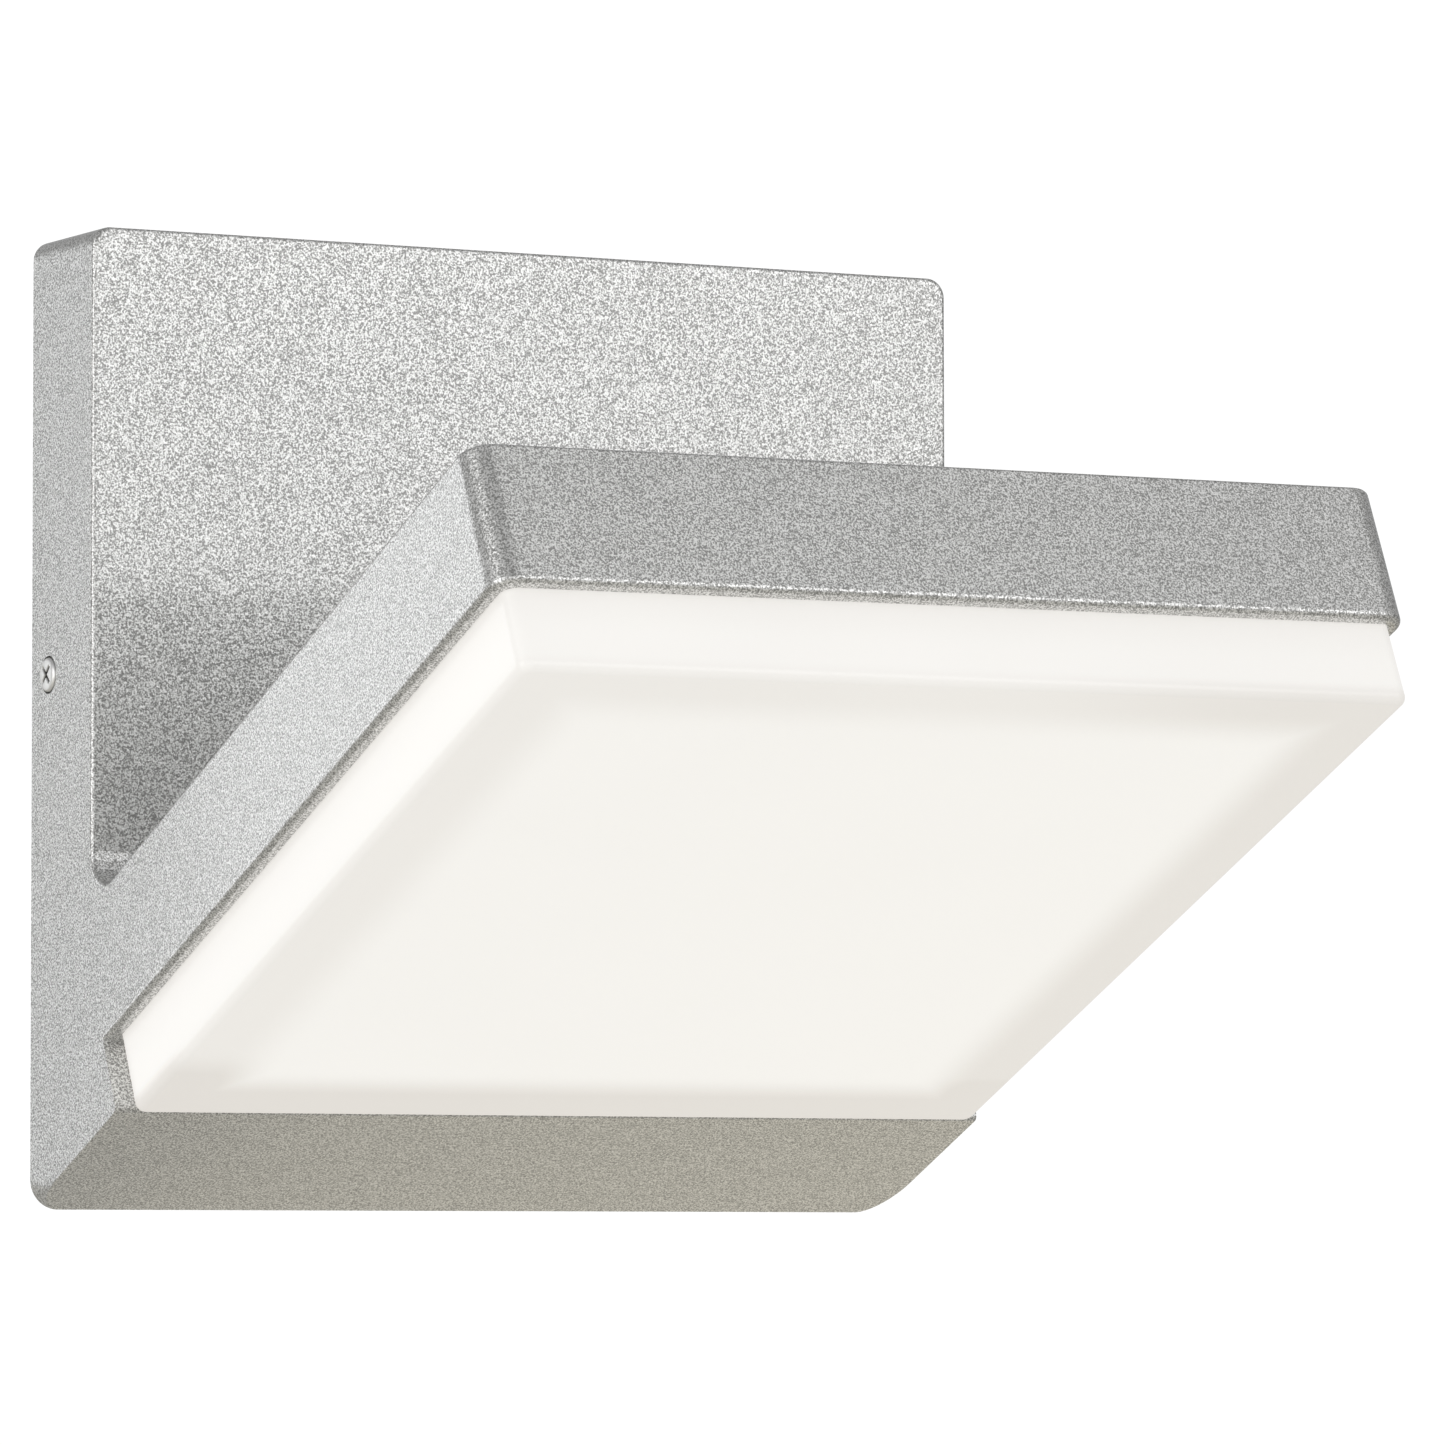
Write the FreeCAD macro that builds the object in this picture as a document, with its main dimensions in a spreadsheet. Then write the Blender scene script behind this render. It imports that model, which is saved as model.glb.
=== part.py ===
# Outdoor wall light: a square cast wall plate with a tilted square head and a frosted diffuser.
#
# Row frame, in millimetres: X is along the wall, +Y is into the wall and +Z is up, so the light
# stands out along -Y. The origin is the middle of the wall box's screw pattern, on the wall.
# "out" is a distance from the wall. The head has a frame of its own, turned by the tilt about X:
# its origin is the foot of the rim, its -Y runs along the rim and its +Z goes into the head.

import FreeCAD
import Part
import math
import os
import re
import Sketcher

V = FreeCAD.Vector
X_AXIS = V(1, 0, 0)
Y_AXIS = V(0, 1, 0)
Z_AXIS = V(0, 0, 1)

SIZES = {
    # wall plate
    "plate_width": 146.0,
    "plate_height": 146.0,
    "plate_depth": 22.0,
    "box_height": 80.0,
    "corner_radius": 3.0,
    "lower_corner": 4.5,
    "edge_radius": 0.6,
    "rim_radius": 1.0,
    "notch_radius": 5.0,
    # head
    "tilt": 24.5,
    "neck_out": 4.61,
    "step_height": 11.1,
    "head_length": 141.9,
    "head_thickness": 21.5,
    "head_taper": 0.3,
    "head_corner": 4.0,
    # walls of the casting
    "side_wall": 3.6,
    "front_wall": 2.4,
    "ramp_wall": 4.2,
    "step_wall": 2.4,
    "head_wall": 1.9,
    "tray_depth": 14.3,
    # wall gasket
    "gasket_lip": 1.6,
    "gasket_width": 2.0,
    "gasket_thickness": 2.0,
    "gasket_rise": 2.7,
    # diffuser and its seal
    "fit_gap": 0.25,
    "step_gap": 1.0,
    "ledge_depth": 4.5,
    "ledge_width": 3.2,
    "seal_thickness": 0.8,
    "diffuser_drop": 12.3,
    "diffuser_wall": 3.0,
    "diffuser_edge": 1.4,
    # light engine
    "board_gap": 7.4,
    "board_thickness": 1.5,
    "board_corner": 4.0,
    "pad_thickness": 0.5,
    "mirror_thickness": 0.4,
    "board_hole_inset": 5.0,
    "chip_length": 3.5,
    "chip_width": 2.8,
    "chip_height": 0.7,
    "chip_rows": 6,
    "chip_margin": 11.0,
    "chip_gap": 0.4,
    "plug_width": 9.0,
    "plug_length": 8.0,
    "plug_height": 5.6,
    "plug_inset": 2.0,
    # threads and screws
    "thread": 3.0,
    "thread_clearance": 3.4,
    "screw_head": 5.2,
    "screw_head_height": 1.9,
    "screw_recess": 0.9,
    "board_screw_length": 4.9,
    "blind_depth": 3.1,
    "point_chamfer": 0.3,
    "head_land": 0.55,
    "recess_reach": 0.56,
    "recess_width": 0.14,
    "recess_depth": 0.5,
    "head_clearance": 0.4,
    "thread_end_gap": 0.5,
    "overrun": 1.0,
    "inner_corner": 1.0,
    # side screws
    "side_screw_out": 6.1,
    "side_screw_hole": 5.7,
    "side_screw_rise": 0.5,
    "side_screw_length": 6.6,
    "side_screw_chamfer": 0.5,
    "cross_reach": 0.26,
    "cross_half": 0.05,
    # wall bracket
    "bracket_height": 28.0,
    "bracket_thickness": 2.0,
    "bracket_gap": 0.4,
    "ear_out": 11.0,
    "slot_width": 4.5,
    "slot_length": 16.0,
    "slot_spacing": 79.4,
    "wire_hole": 18.0,
    "ground_screw_x": 22.0,
    "ground_thread": 4.0,
    "ground_head": 8.0,
    "ground_head_height": 2.4,
    # lead hole and grommet
    "lead_hole": 5.0,
    "lead_hole_height": 8.1,
    "grommet_flange": 7.2,
    "grommet_lip": 1.0,
    "lead": 1.3,
    "lead_spacing": 2.0,
    "lead_bend": 3.5,
    "neck_run": 8.0,
    "output_drop": 14.0,
    "input_drop": 13.0,
    "input_rise": 10.0,
    # driver
    "driver_length": 92.0,
    "driver_height": 36.0,
    "driver_depth": 15.5,
    "driver_up": 36.0,
    "driver_wall": 1.5,
    "driver_corner": 2.5,
    "ear_length": 9.0,
    "ear_height": 12.0,
    "ear_thickness": 2.0,
    "boss_height": 5.0,
    "boss_diameter": 8.0,
    "driver_screw_length": 5.5,
    "driver_board": 1.6,
    "driver_board_gap": 1.5,
    "bush_diameter": 5.0,
    "bush_length": 3.5,
    "bush_inset": 10.0,
    "bush_lip": 1.0,
    "transformer_x": 4.0,
    "transformer_width": 18.0,
    "transformer_share": 0.6,
    "transformer_gap": 0.8,
    "waist_width": 3.0,
    "waist_share": 0.5,
    "can_diameter": 7.5,
    "can_gap": 1.2,
    "can_up": 7.0,
    "can_left": 20.0,
    "can_pitch": 8.5,
    "can_right": 24.0,
    # terminal block and earth point
    "block_x": 36.0,
    "block_down": 34.0,
    "block_width": 30.0,
    "block_height": 17.0,
    "block_depth": 12.0,
    "block_boss": 3.0,
    "block_screw_length": 13.0,
    "pole_pitch": 9.0,
    "pole_depth": 8.6,
    "supply_hole": 3.0,
    "clamp_screw": 3.4,
    "clamp_rise": 0.8,
    "clamp_share": 0.27,
    "earth_x": 60.0,
    "earth_down": 18.0,
    "earth_boss": 9.0,
    "tag_thickness": 0.8,
    "tag_barrel": 2.6,
    "tag_barrel_length": 4.0,
    "tag_margin": 0.5,
    "tag_sink": 0.3,
    "earth_rise": 3.0,
    "earth_step": 4.3,
}

# Sizes that follow from the driving ones, written once and used by name.
WORKED_OUT = {
    "foot_out": "plate_depth + neck_out",
    "ramp_length": "(foot_out + step_height * sin(tilt)) / cos(tilt)",
    "foot_up": "ramp_length * sin(tilt) + step_height * cos(tilt)",
    "top_out": "foot_out + head_length * cos(tilt) - head_thickness * sin(tilt)",
    "top_up": "foot_up + head_length * sin(tilt) + head_thickness * cos(tilt)",
    "notch_up": "top_up - (top_out - plate_depth) * tan(tilt + head_taper)",
    "inner_front": "plate_depth - front_wall",
    "inner_half": "plate_width / 2 - side_wall",
    "neck_rise": "(foot_out - step_wall * cos(tilt) - inner_front) / sin(tilt)",
    "tray_width": "plate_width - 2 * head_wall",
    "tray_start": "step_gap - fit_gap",
    "tray_length": "head_length - head_wall - tray_start",
    "tray_middle": "tray_start + tray_length / 2",
    "tray_corner": "head_corner - head_wall",
    "board_width": "tray_width - 2 * (ledge_width + board_gap)",
    "board_length": "tray_length - 2 * (ledge_width + board_gap)",
    "board_hole_span": "board_width - 2 * board_hole_inset",
    "board_hole_reach": "board_length - 2 * board_hole_inset",
    "board_top": "tray_depth - pad_thickness",
    "board_face": "board_top - board_thickness",
    "mirror_face": "board_face - mirror_thickness",
    "chip_span": "board_width - 2 * chip_margin",
    "chip_reach": "board_length - 2 * chip_margin",
    "board_near": "tray_middle - board_length / 2",
    "plug_near": "board_near + plug_inset",
    "well_start": "tray_start + ledge_width",
    "driver_near": "inner_front - driver_depth",
    "ear_face": "inner_front - boss_height",
    "driver_hole_x": "driver_length / 2 + ear_length / 2",
    "block_near": "inner_front - block_boss - block_depth",
    "ear_x": "inner_half - bracket_gap",
    "bush_x": "driver_length / 2 - bush_inset",
    "bush_out": "driver_near + driver_wall + bush_diameter / 2",
    "driver_low": "driver_up - driver_height / 2",
    "driver_board_near": "inner_front - driver_wall - driver_board_gap - driver_board",
    "driver_room": "driver_board_near - driver_near - driver_wall",
    "bush_neck": "bush_diameter - bush_lip",
    "block_screw_x": "block_x + pole_pitch / 2",
    "block_top": "block_height / 2 - block_down",
    "pole_out": "block_near + pole_depth",
    "tag_out": "ear_face - tag_thickness - tag_barrel / 2 + tag_sink",
    "tag_end": "earth_x - ground_head / 2 - fit_gap - tag_barrel_length",
    "gasket_bottom": "gasket_rise - box_height",
    "gasket_top": "plate_height - gasket_lip - box_height",
    "gasket_outer": "plate_width - 2 * gasket_lip",
}


def expand(text):
    """Write each worked-out size in full, then point every driving size at its cell."""
    while any(re.search(rf"\b{name}\b", text) for name in WORKED_OUT):
        for name, rule in WORKED_OUT.items():
            text = re.sub(rf"\b{name}\b", f"({rule})", text)
    return re.sub(r"\b[a-z][a-z_]*\b", lambda found: cell(found.group()), text)


def cell(word):
    return f"Sizes.{word}" if word in SIZES else word


def bind(item, path, text):
    item.setExpression(path, expand(text))


def amount(text):
    return float(sheet.evalExpression(expand(text)))


def point(*texts):
    return V(*(amount(text) for text in texts))


def make_sheet():
    table = doc.addObject("Spreadsheet::Sheet", "Sizes")
    for row, (name, size) in enumerate(SIZES.items(), start=1):
        table.set(f"A{row}", name)
        table.set(f"B{row}", str(size))
        table.setAlias(f"B{row}", name)
    return table


# ---------------------------------------------------------------- bodies and sketches

def row_body(name):
    body = doc.addObject("PartDesign::Body", name)
    body.Label = name
    body.AllowCompound = True
    body.Placement = FreeCAD.Placement()
    return body


def head_body(name):
    """A body in the head's frame, at the foot of the rim and turned by the tilt."""
    body = row_body(name)
    body.Placement = FreeCAD.Placement(V(0, 0, 0), FreeCAD.Rotation(X_AXIS, -1))
    bind(body, "Placement.Base.y", "-foot_out")
    bind(body, "Placement.Base.z", "foot_up - box_height")
    bind(body, "Placement.Rotation.Angle", "-tilt")
    return body


def sketch_on(body, role, x="0", y="0", lift="0"):
    """A sketch on one of the body's own origin planes, moved within it and lifted off it."""
    plane = next(item for item in body.Origin.OriginFeatures if item.Role == role)
    sketch = body.newObject("Sketcher::SketchObject", f"{body.Name}_sketch")
    sketch.AttachmentSupport = (plane, [""])
    sketch.MapMode = "FlatFace"
    bind(sketch, "AttachmentOffset.Base.x", x)
    bind(sketch, "AttachmentOffset.Base.y", y)
    bind(sketch, "AttachmentOffset.Base.z", lift)
    return sketch


def tilt_sketch(sketch, angle):
    """Turn a sketch about its own X axis by a rule for the angle."""
    offset = sketch.AttachmentOffset
    offset.Rotation = FreeCAD.Rotation(X_AXIS, -1)
    sketch.AttachmentOffset = offset
    bind(sketch, "AttachmentOffset.Rotation.Angle", angle)
    return sketch


def sketch_on_rim(body):
    """A sketch in the rim's plane, for a body that is built in the row frame."""
    return tilt_sketch(sketch_on(body, "XY_Plane", y="-foot_out", lift="foot_up - box_height"), "-tilt")


def pin_point(sketch, edge, end, x, y):
    """Hold one end of an edge at x, y from the sketch's origin."""
    for kind, text in (("DistanceX", x), ("DistanceY", y)):
        index = sketch.addConstraint(Sketcher.Constraint(kind, -1, 1, edge, end, amount(text)))
        bind(sketch, f"Constraints[{index}]", text)


def outline(sketch, corners):
    """A closed outline with straight sides through corners given as pairs of rules."""
    spots = [point(x, y, "0") for x, y in corners]
    first = sketch.GeometryCount
    for start, end in zip(spots, spots[1:] + spots[:1]):
        sketch.addGeometry(Part.LineSegment(start, end), False)
    for index, (x, y) in enumerate(corners):
        following = first + (index + 1) % len(corners)
        sketch.addConstraint(Sketcher.Constraint("Coincident", first + index, 2, following, 1))
        pin_point(sketch, first + index, 1, x, y)


def rectangle(sketch, width, height, x="0", y="0"):
    left, right = f"{x} - ({width}) / 2", f"{x} + ({width}) / 2"
    low, high = f"{y} - ({height}) / 2", f"{y} + ({height}) / 2"
    outline(sketch, [(left, low), (right, low), (right, high), (left, high)])


def rounded_rectangle(sketch, width, height, radius, x="0", y="0"):
    """Four sides and four tangent corner arcs, with the middle at x, y."""
    half_w, half_h, r = amount(width) / 2, amount(height) / 2, amount(radius)
    middle = point(x, y, "0")
    first = sketch.GeometryCount
    for side, (along, across) in enumerate([(half_w, half_h), (half_h, half_w)] * 2):
        turn = FreeCAD.Rotation(Z_AXIS, 90 * side)
        hub = V(along - r, r - across, 0)
        spots = [V(r - along, -across, 0), V(along - r, -across, 0)]
        spots += [hub + V(r, -r, 0) * math.sqrt(0.5), V(along, r - across, 0)]
        start, end, bow, rim = (turn.multVec(spot) + middle for spot in spots)
        sketch.addGeometry(Part.LineSegment(start, end), False)
        sketch.addGeometry(Part.Arc(end, bow, rim), False)
    for side in range(4):
        line, arc = first + 2 * side, first + 2 * side + 1
        following = first + (2 * side + 2) % 8
        sketch.addConstraint(Sketcher.Constraint("Tangent", line, 2, arc, 1))
        sketch.addConstraint(Sketcher.Constraint("Tangent", arc, 2, following, 1))
        sketch.addConstraint(Sketcher.Constraint("Vertical" if side % 2 else "Horizontal", line))
        if side:
            sketch.addConstraint(Sketcher.Constraint("Equal", first + 1, arc))
    index = sketch.addConstraint(Sketcher.Constraint("Radius", first + 1, r))
    bind(sketch, f"Constraints[{index}]", radius)
    pin_point(sketch, first, 1, f"{x} - ({width}) / 2 + {radius}", f"{y} - ({height}) / 2")
    pin_point(sketch, first + 4, 1, f"{x} + ({width}) / 2 - ({radius})", f"{y} + ({height}) / 2")


def circle(sketch, diameter, x="0", y="0"):
    index = sketch.addGeometry(Part.Circle(point(x, y, "0"), Z_AXIS, amount(diameter) / 2), False)
    size = sketch.addConstraint(Sketcher.Constraint("Diameter", index, amount(diameter)))
    bind(sketch, f"Constraints[{size}]", diameter)
    pin_point(sketch, index, 3, x, y)


def slot(sketch, length, width, x="0", y="0"):
    """A round-ended slot along the sketch's X axis."""
    half, r = amount(length) / 2, amount(width) / 2
    middle = point(x, y, "0")
    corners = [V(-half + r, -r, 0), V(half - r, -r, 0), V(half - r, r, 0), V(-half + r, r, 0)]
    a, b, c, d = (corner + middle for corner in corners)
    first = sketch.GeometryCount
    sketch.addGeometry(Part.LineSegment(a, b), False)
    sketch.addGeometry(Part.Arc(b, middle + V(half, 0, 0), c), False)
    sketch.addGeometry(Part.LineSegment(c, d), False)
    sketch.addGeometry(Part.Arc(d, middle - V(half, 0, 0), a), False)
    for side in range(4):
        ends = (first + side, 2, first + (side + 1) % 4, 1)
        sketch.addConstraint(Sketcher.Constraint("Tangent", *ends))
    for side in (first, first + 2):
        sketch.addConstraint(Sketcher.Constraint("Horizontal", side))
    pin_point(sketch, first, 1, f"{x} - ({length} - {width}) / 2", f"{y} - ({width}) / 2")
    pin_point(sketch, first + 2, 1, f"{x} + ({length} - {width}) / 2", f"{y} + ({width}) / 2")


# ---------------------------------------------------------------- features

def pad(sketch, length, reverse=False, both=False):
    """Add the sketch's area along its normal, against it, or half to each side."""
    body = sketch.getParentGeoFeatureGroup()
    feature = body.newObject("PartDesign::Pad", f"{body.Name}_pad")
    feature.Profile = sketch
    feature.Reversed = reverse
    feature.SideType = "Symmetric" if both else "One side"
    bind(feature, "Length", length)
    doc.recompute()
    return feature


def cut(sketch, length, reverse=False, both=False):
    """Remove the sketch's area, against its normal unless reversed, and test that it did."""
    body = sketch.getParentGeoFeatureGroup()
    before = body.Shape.Volume
    feature = body.newObject("PartDesign::Pocket", f"{body.Name}_cut")
    feature.Profile = sketch
    feature.Reversed = reverse
    feature.SideType = "Symmetric" if both else "One side"
    bind(feature, "Length", length)
    doc.recompute()
    if feature.Shape.Volume >= before - 1e-6:
        raise RuntimeError(f"{feature.Name} removed nothing")
    return feature


def round_edges(body, radius, test):
    """Round the edges of the body's present shape that pass the test."""
    base = body.Tip
    names = [f"Edge{i}" for i, edge in enumerate(base.Shape.Edges, start=1) if test(edge)]
    if not names:
        raise RuntimeError(f"{body.Name} has no edge to round")
    feature = body.newObject("PartDesign::Fillet", f"{body.Name}_round")
    feature.Base = (base, names)
    bind(feature, "Radius", radius)
    doc.recompute()
    return feature


def features_of(body):
    return [item for item in body.Group if item.isDerivedFrom("PartDesign::FeatureAddSub")]


def repeat(body, steps, originals=None):
    """Repeat features, or the whole body, in rows: axis role, distance between ends, count."""
    many = body.newObject("PartDesign::MultiTransform", f"{body.Name}_grid")
    many.Originals = originals or features_of(body)
    rows = []
    for role, span, count in steps:
        axis = next(item for item in body.Origin.OriginFeatures if item.Role == role)
        row = body.newObject("PartDesign::LinearPattern", f"{body.Name}_row")
        row.Direction = (axis, [""])
        bind(row, "Length", span)
        bind(row, "Occurrences", count)
        rows.append(row)
    many.Transformations = rows
    body.Tip = many
    doc.recompute()
    return many


def mirror(body, originals=None):
    """Repeat features, or the whole body, on the other side of its YZ plane."""
    feature = body.newObject("PartDesign::Mirrored", f"{body.Name}_mirror")
    feature.Originals = originals or features_of(body)
    plane = next(item for item in body.Origin.OriginFeatures if item.Role == "YZ_Plane")
    feature.MirrorPlane = (plane, [""])
    body.Tip = feature
    doc.recompute()
    return feature


def runs_along(edge, direction):
    """True for a straight edge parallel to direction."""
    if edge.Curve.TypeId != "Part::GeomLine":
        return False
    return abs(abs(edge.Curve.Direction.dot(direction)) - 1) < 1e-6


# ---------------------------------------------------------------- housing

def housing():
    """One casting: the wall plate's box and the head's tray, joined at the foot."""
    body = row_body("housing")
    profile = sketch_on(body, "YZ_Plane", y="-box_height")
    outline(profile, [
        ("0", "0"),
        ("-ramp_length * cos(tilt)", "ramp_length * sin(tilt)"),
        ("-foot_out", "foot_up"),
        ("-foot_out - head_length * cos(tilt)", "foot_up + head_length * sin(tilt)"),
        ("-top_out", "top_up"),
        ("-plate_depth", "notch_up"),
        ("-plate_depth", "plate_height"),
        ("0", "plate_height"),
    ])
    pad(profile, "plate_width", both=True)
    round_outside(body)
    hollow_tray(body)
    hollow_plate(body)
    cut_side_screw_holes(body)
    add_bosses(body)
    return body


def round_outside(body):
    """Round the notch, then the corners seen from in front, then the long outer edges."""
    half = amount("plate_width / 2")
    along = V(0, -amount("cos(tilt)"), amount("sin(tilt)"))
    across = V(0, amount("sin(tilt)"), amount("cos(tilt)"))
    top = amount("plate_height - box_height")
    out, notch = amount("plate_depth"), amount("notch_up - box_height")
    end = point("0", "-top_out", "top_up - box_height")
    foot = point("0", "-foot_out", "foot_up - box_height")

    def at_side(edge):
        return abs(abs(edge.CenterOfMass.x) - half) < 1e-3

    def is_notch(edge):
        middle = edge.CenterOfMass
        return runs_along(edge, X_AXIS) and abs(middle.y + out) < 1e-3 and abs(middle.z - notch) < 1e-3

    def is_plate_corner(edge):
        return at_side(edge) and runs_along(edge, Y_AXIS) and abs(edge.CenterOfMass.z - top) < 1e-3

    def is_head_corner(edge):
        at_end = abs((edge.CenterOfMass - end).dot(along)) < 1e-3
        return at_side(edge) and runs_along(edge, across) and at_end

    def is_front_edge(edge):
        middle = edge.CenterOfMass
        return at_side(edge) and runs_along(edge, Z_AXIS) and abs(middle.y + out) < 1e-3

    def is_rim_edge(edge):
        middle = edge.CenterOfMass
        on_rim = abs((middle - foot).dot(across)) < 1e-3
        return at_side(edge) and runs_along(edge, along) and on_rim

    def is_lip_edge(edge):
        tip = point("0", "-ramp_length * cos(tilt)", "ramp_length * sin(tilt) - box_height")
        middle = edge.CenterOfMass
        return runs_along(edge, X_AXIS) and abs(middle.y - tip.y) < 1e-3 and abs(middle.z - tip.z) < 1e-3

    round_edges(body, "notch_radius", is_notch)
    round_edges(body, "corner_radius", is_plate_corner)
    round_edges(body, "head_corner", is_head_corner)
    round_lower_corners(body)
    round_edges(body, "edge_radius", is_front_edge)
    round_edges(body, "rim_radius", is_rim_edge)
    round_edges(body, "rim_radius", is_lip_edge)


def round_lower_corners(body):
    """Round the plate's two lower corners, as seen from in front, where they meet the ramp."""
    sketch = sketch_on(body, "XZ_Plane", y="-box_height")
    half = "plate_width / 2"
    near = f"{half} - lower_corner"
    beyond = f"{half} + lower_corner"
    spots = [(half, "lower_corner"), (beyond, "lower_corner"), (beyond, "-lower_corner"),
             (near, "-lower_corner"), (near, "0")]
    corners = [point(x, y, "0") for x, y in spots]
    for start, end in zip(corners, corners[1:]):
        sketch.addGeometry(Part.LineSegment(start, end), False)
    radius = amount("lower_corner")
    bow = point(near, "lower_corner", "0") + V(radius, -radius, 0) * math.sqrt(0.5)
    arc = sketch.addGeometry(Part.Arc(corners[-1], bow, corners[0]), False)
    for index, (x, y) in enumerate(spots):
        sketch.addConstraint(Sketcher.Constraint("Coincident", (index - 1) % len(spots), 2, index, 1))
        pin_point(sketch, index, 1, x, y)
    size = sketch.addConstraint(Sketcher.Constraint("Radius", arc, radius))
    bind(sketch, f"Constraints[{size}]", "lower_corner")
    mirror(body, [cut(sketch, "2 * plate_depth", both=True)])


def hollow_tray(body):
    """The tray: a wide mouth for the diffuser, a ledge for the seal and a flat floor."""
    mouth = sketch_on_rim(body)
    rounded_rectangle(mouth, "tray_width", "tray_length", "tray_corner", y="-(tray_middle)")
    cut(mouth, "ledge_depth", reverse=True)
    well = sketch_on_rim(body)
    width = "tray_width - 2 * ledge_width"
    length = "tray_length - 2 * ledge_width"
    rounded_rectangle(well, width, length, "tray_corner", y="-(tray_middle)")
    cut(well, "tray_depth", reverse=True)
    holes = sketch_on_rim(body)
    for side in ("-", ""):
        for end in ("-", ""):
            spot_y = f"-(tray_middle) {end or '+'} board_hole_reach / 2"
            circle(holes, "thread", f"{side}board_hole_span / 2", spot_y)
    cut(holes, "tray_depth + blind_depth", reverse=True)


def hollow_plate(body):
    """The box behind the plate, its gasket groove and the lead hole into the tray."""
    inside = sketch_on(body, "YZ_Plane", y="-box_height")
    neck = "ramp_wall - step_height"
    outline(inside, [
        ("0", "ramp_wall / cos(tilt)"),
        (f"-foot_out + step_wall * cos(tilt) + ({neck}) * sin(tilt)",
         f"foot_up - step_wall * sin(tilt) + ({neck}) * cos(tilt)"),
        ("-inner_front", "foot_up - step_wall * sin(tilt) + neck_rise * cos(tilt)"),
        ("-inner_front", "plate_height - side_wall"),
        ("0", "plate_height - side_wall"),
    ])
    cut(inside, "2 * inner_half", both=True)
    groove = sketch_on(body, "XZ_Plane")
    gasket_ring_outside(groove)
    cut(groove, "gasket_thickness", reverse=True)
    lead_hole = body.newObject("PartDesign::SubtractiveCylinder", "housing_lead_hole")
    lead_hole.Placement = FreeCAD.Placement(V(0, 0, 0), FreeCAD.Rotation(X_AXIS, 1))
    back = "(step_wall + overrun)"
    bind(lead_hole, "Placement.Base.y", f"-foot_out + {back} * cos(tilt) + lead_hole_height * sin(tilt)")
    rise = f"foot_up - {back} * sin(tilt) + lead_hole_height * cos(tilt)"
    bind(lead_hole, "Placement.Base.z", f"{rise} - box_height")
    bind(lead_hole, "Placement.Rotation.Angle", "90 - tilt")
    bind(lead_hole, "Radius", "lead_hole / 2")
    bind(lead_hole, "Height", f"{back} + well_start + overrun")
    doc.recompute()


def gasket_ring_outside(sketch):
    middle = "(gasket_top + gasket_bottom) / 2"
    height = "gasket_top - gasket_bottom"
    rounded_rectangle(sketch, "gasket_outer", height, "corner_radius - gasket_lip", y=middle)


def cut_side_screw_holes(body):
    """A clearance hole right through both sides, and a wider sink for each head."""
    through = sketch_on(body, "YZ_Plane", x="-side_screw_out")
    circle(through, "thread_clearance")
    cut(through, "2 * plate_width", both=True)
    for side, backwards in (("-", True), ("", False)):
        sink = sketch_on(body, "YZ_Plane", x="-side_screw_out", lift=f"{side}plate_width / 2")
        circle(sink, "side_screw_hole")
        cut(sink, "screw_head_height - side_screw_rise", reverse=backwards)


def add_bosses(body):
    """Threaded bosses inside the front wall for the driver, the block and the earth screw."""
    bosses = sketch_on(body, "XZ_Plane", lift="inner_front - boss_height")
    circle(bosses, "boss_diameter", "driver_hole_x", "driver_up")
    circle(bosses, "boss_diameter", "-driver_hole_x", "driver_up")
    circle(bosses, "earth_boss", "earth_x", "-earth_down")
    pad(bosses, "boss_height + front_wall / 2")
    seat = sketch_on(body, "XZ_Plane", lift="inner_front - block_boss")
    circle(seat, "boss_diameter", "block_screw_x", "-block_down")
    pad(seat, "block_boss + front_wall / 2")
    threads = sketch_on(body, "XZ_Plane")
    circle(threads, "thread", "driver_hole_x", "driver_up")
    circle(threads, "thread", "-driver_hole_x", "driver_up")
    circle(threads, "thread", "block_screw_x", "-block_down")
    circle(threads, "ground_thread", "earth_x", "-earth_down")
    cut(threads, "inner_front + front_wall / 3", reverse=True)


# ---------------------------------------------------------------- diffuser and seal

def diffuser():
    """A frosted box, open towards the lamps, that stands proud of the rim."""
    body = head_body("diffuser")
    width = "tray_width - 2 * fit_gap"
    length = "tray_length - 2 * fit_gap"
    outside = sketch_on(body, "XY_Plane", lift="-diffuser_drop")
    rounded_rectangle(outside, width, length, "tray_corner - fit_gap", y="-(tray_middle)")
    pad(outside, "diffuser_drop + ledge_depth - seal_thickness")
    face = amount("-diffuser_drop")
    round_edges(body, "diffuser_edge", lambda edge: abs(edge.CenterOfMass.z - face) < 1e-3)
    inside = sketch_on(body, "XY_Plane", lift="diffuser_wall - diffuser_drop")
    wall = "2 * diffuser_wall"
    rounded_rectangle(inside, f"{width} - {wall}", f"{length} - {wall}", "inner_corner", y="-(tray_middle)")
    cut(inside, "diffuser_drop + ledge_depth", reverse=True)
    return body


def diffuser_seal():
    body = head_body("diffuser_seal")
    ring = sketch_on(body, "XY_Plane", lift="ledge_depth - seal_thickness")
    gap = "2 * fit_gap"
    width, length = f"tray_width - {gap}", f"tray_length - {gap}"
    rounded_rectangle(ring, width, length, "tray_corner - fit_gap", y="-(tray_middle)")
    inner = "2 * ledge_width"
    width, length = f"tray_width - {inner}", f"tray_length - {inner}"
    rounded_rectangle(ring, width, length, "inner_corner", y="-(tray_middle)")
    pad(ring, "seal_thickness")
    return body


# ---------------------------------------------------------------- light engine

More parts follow.
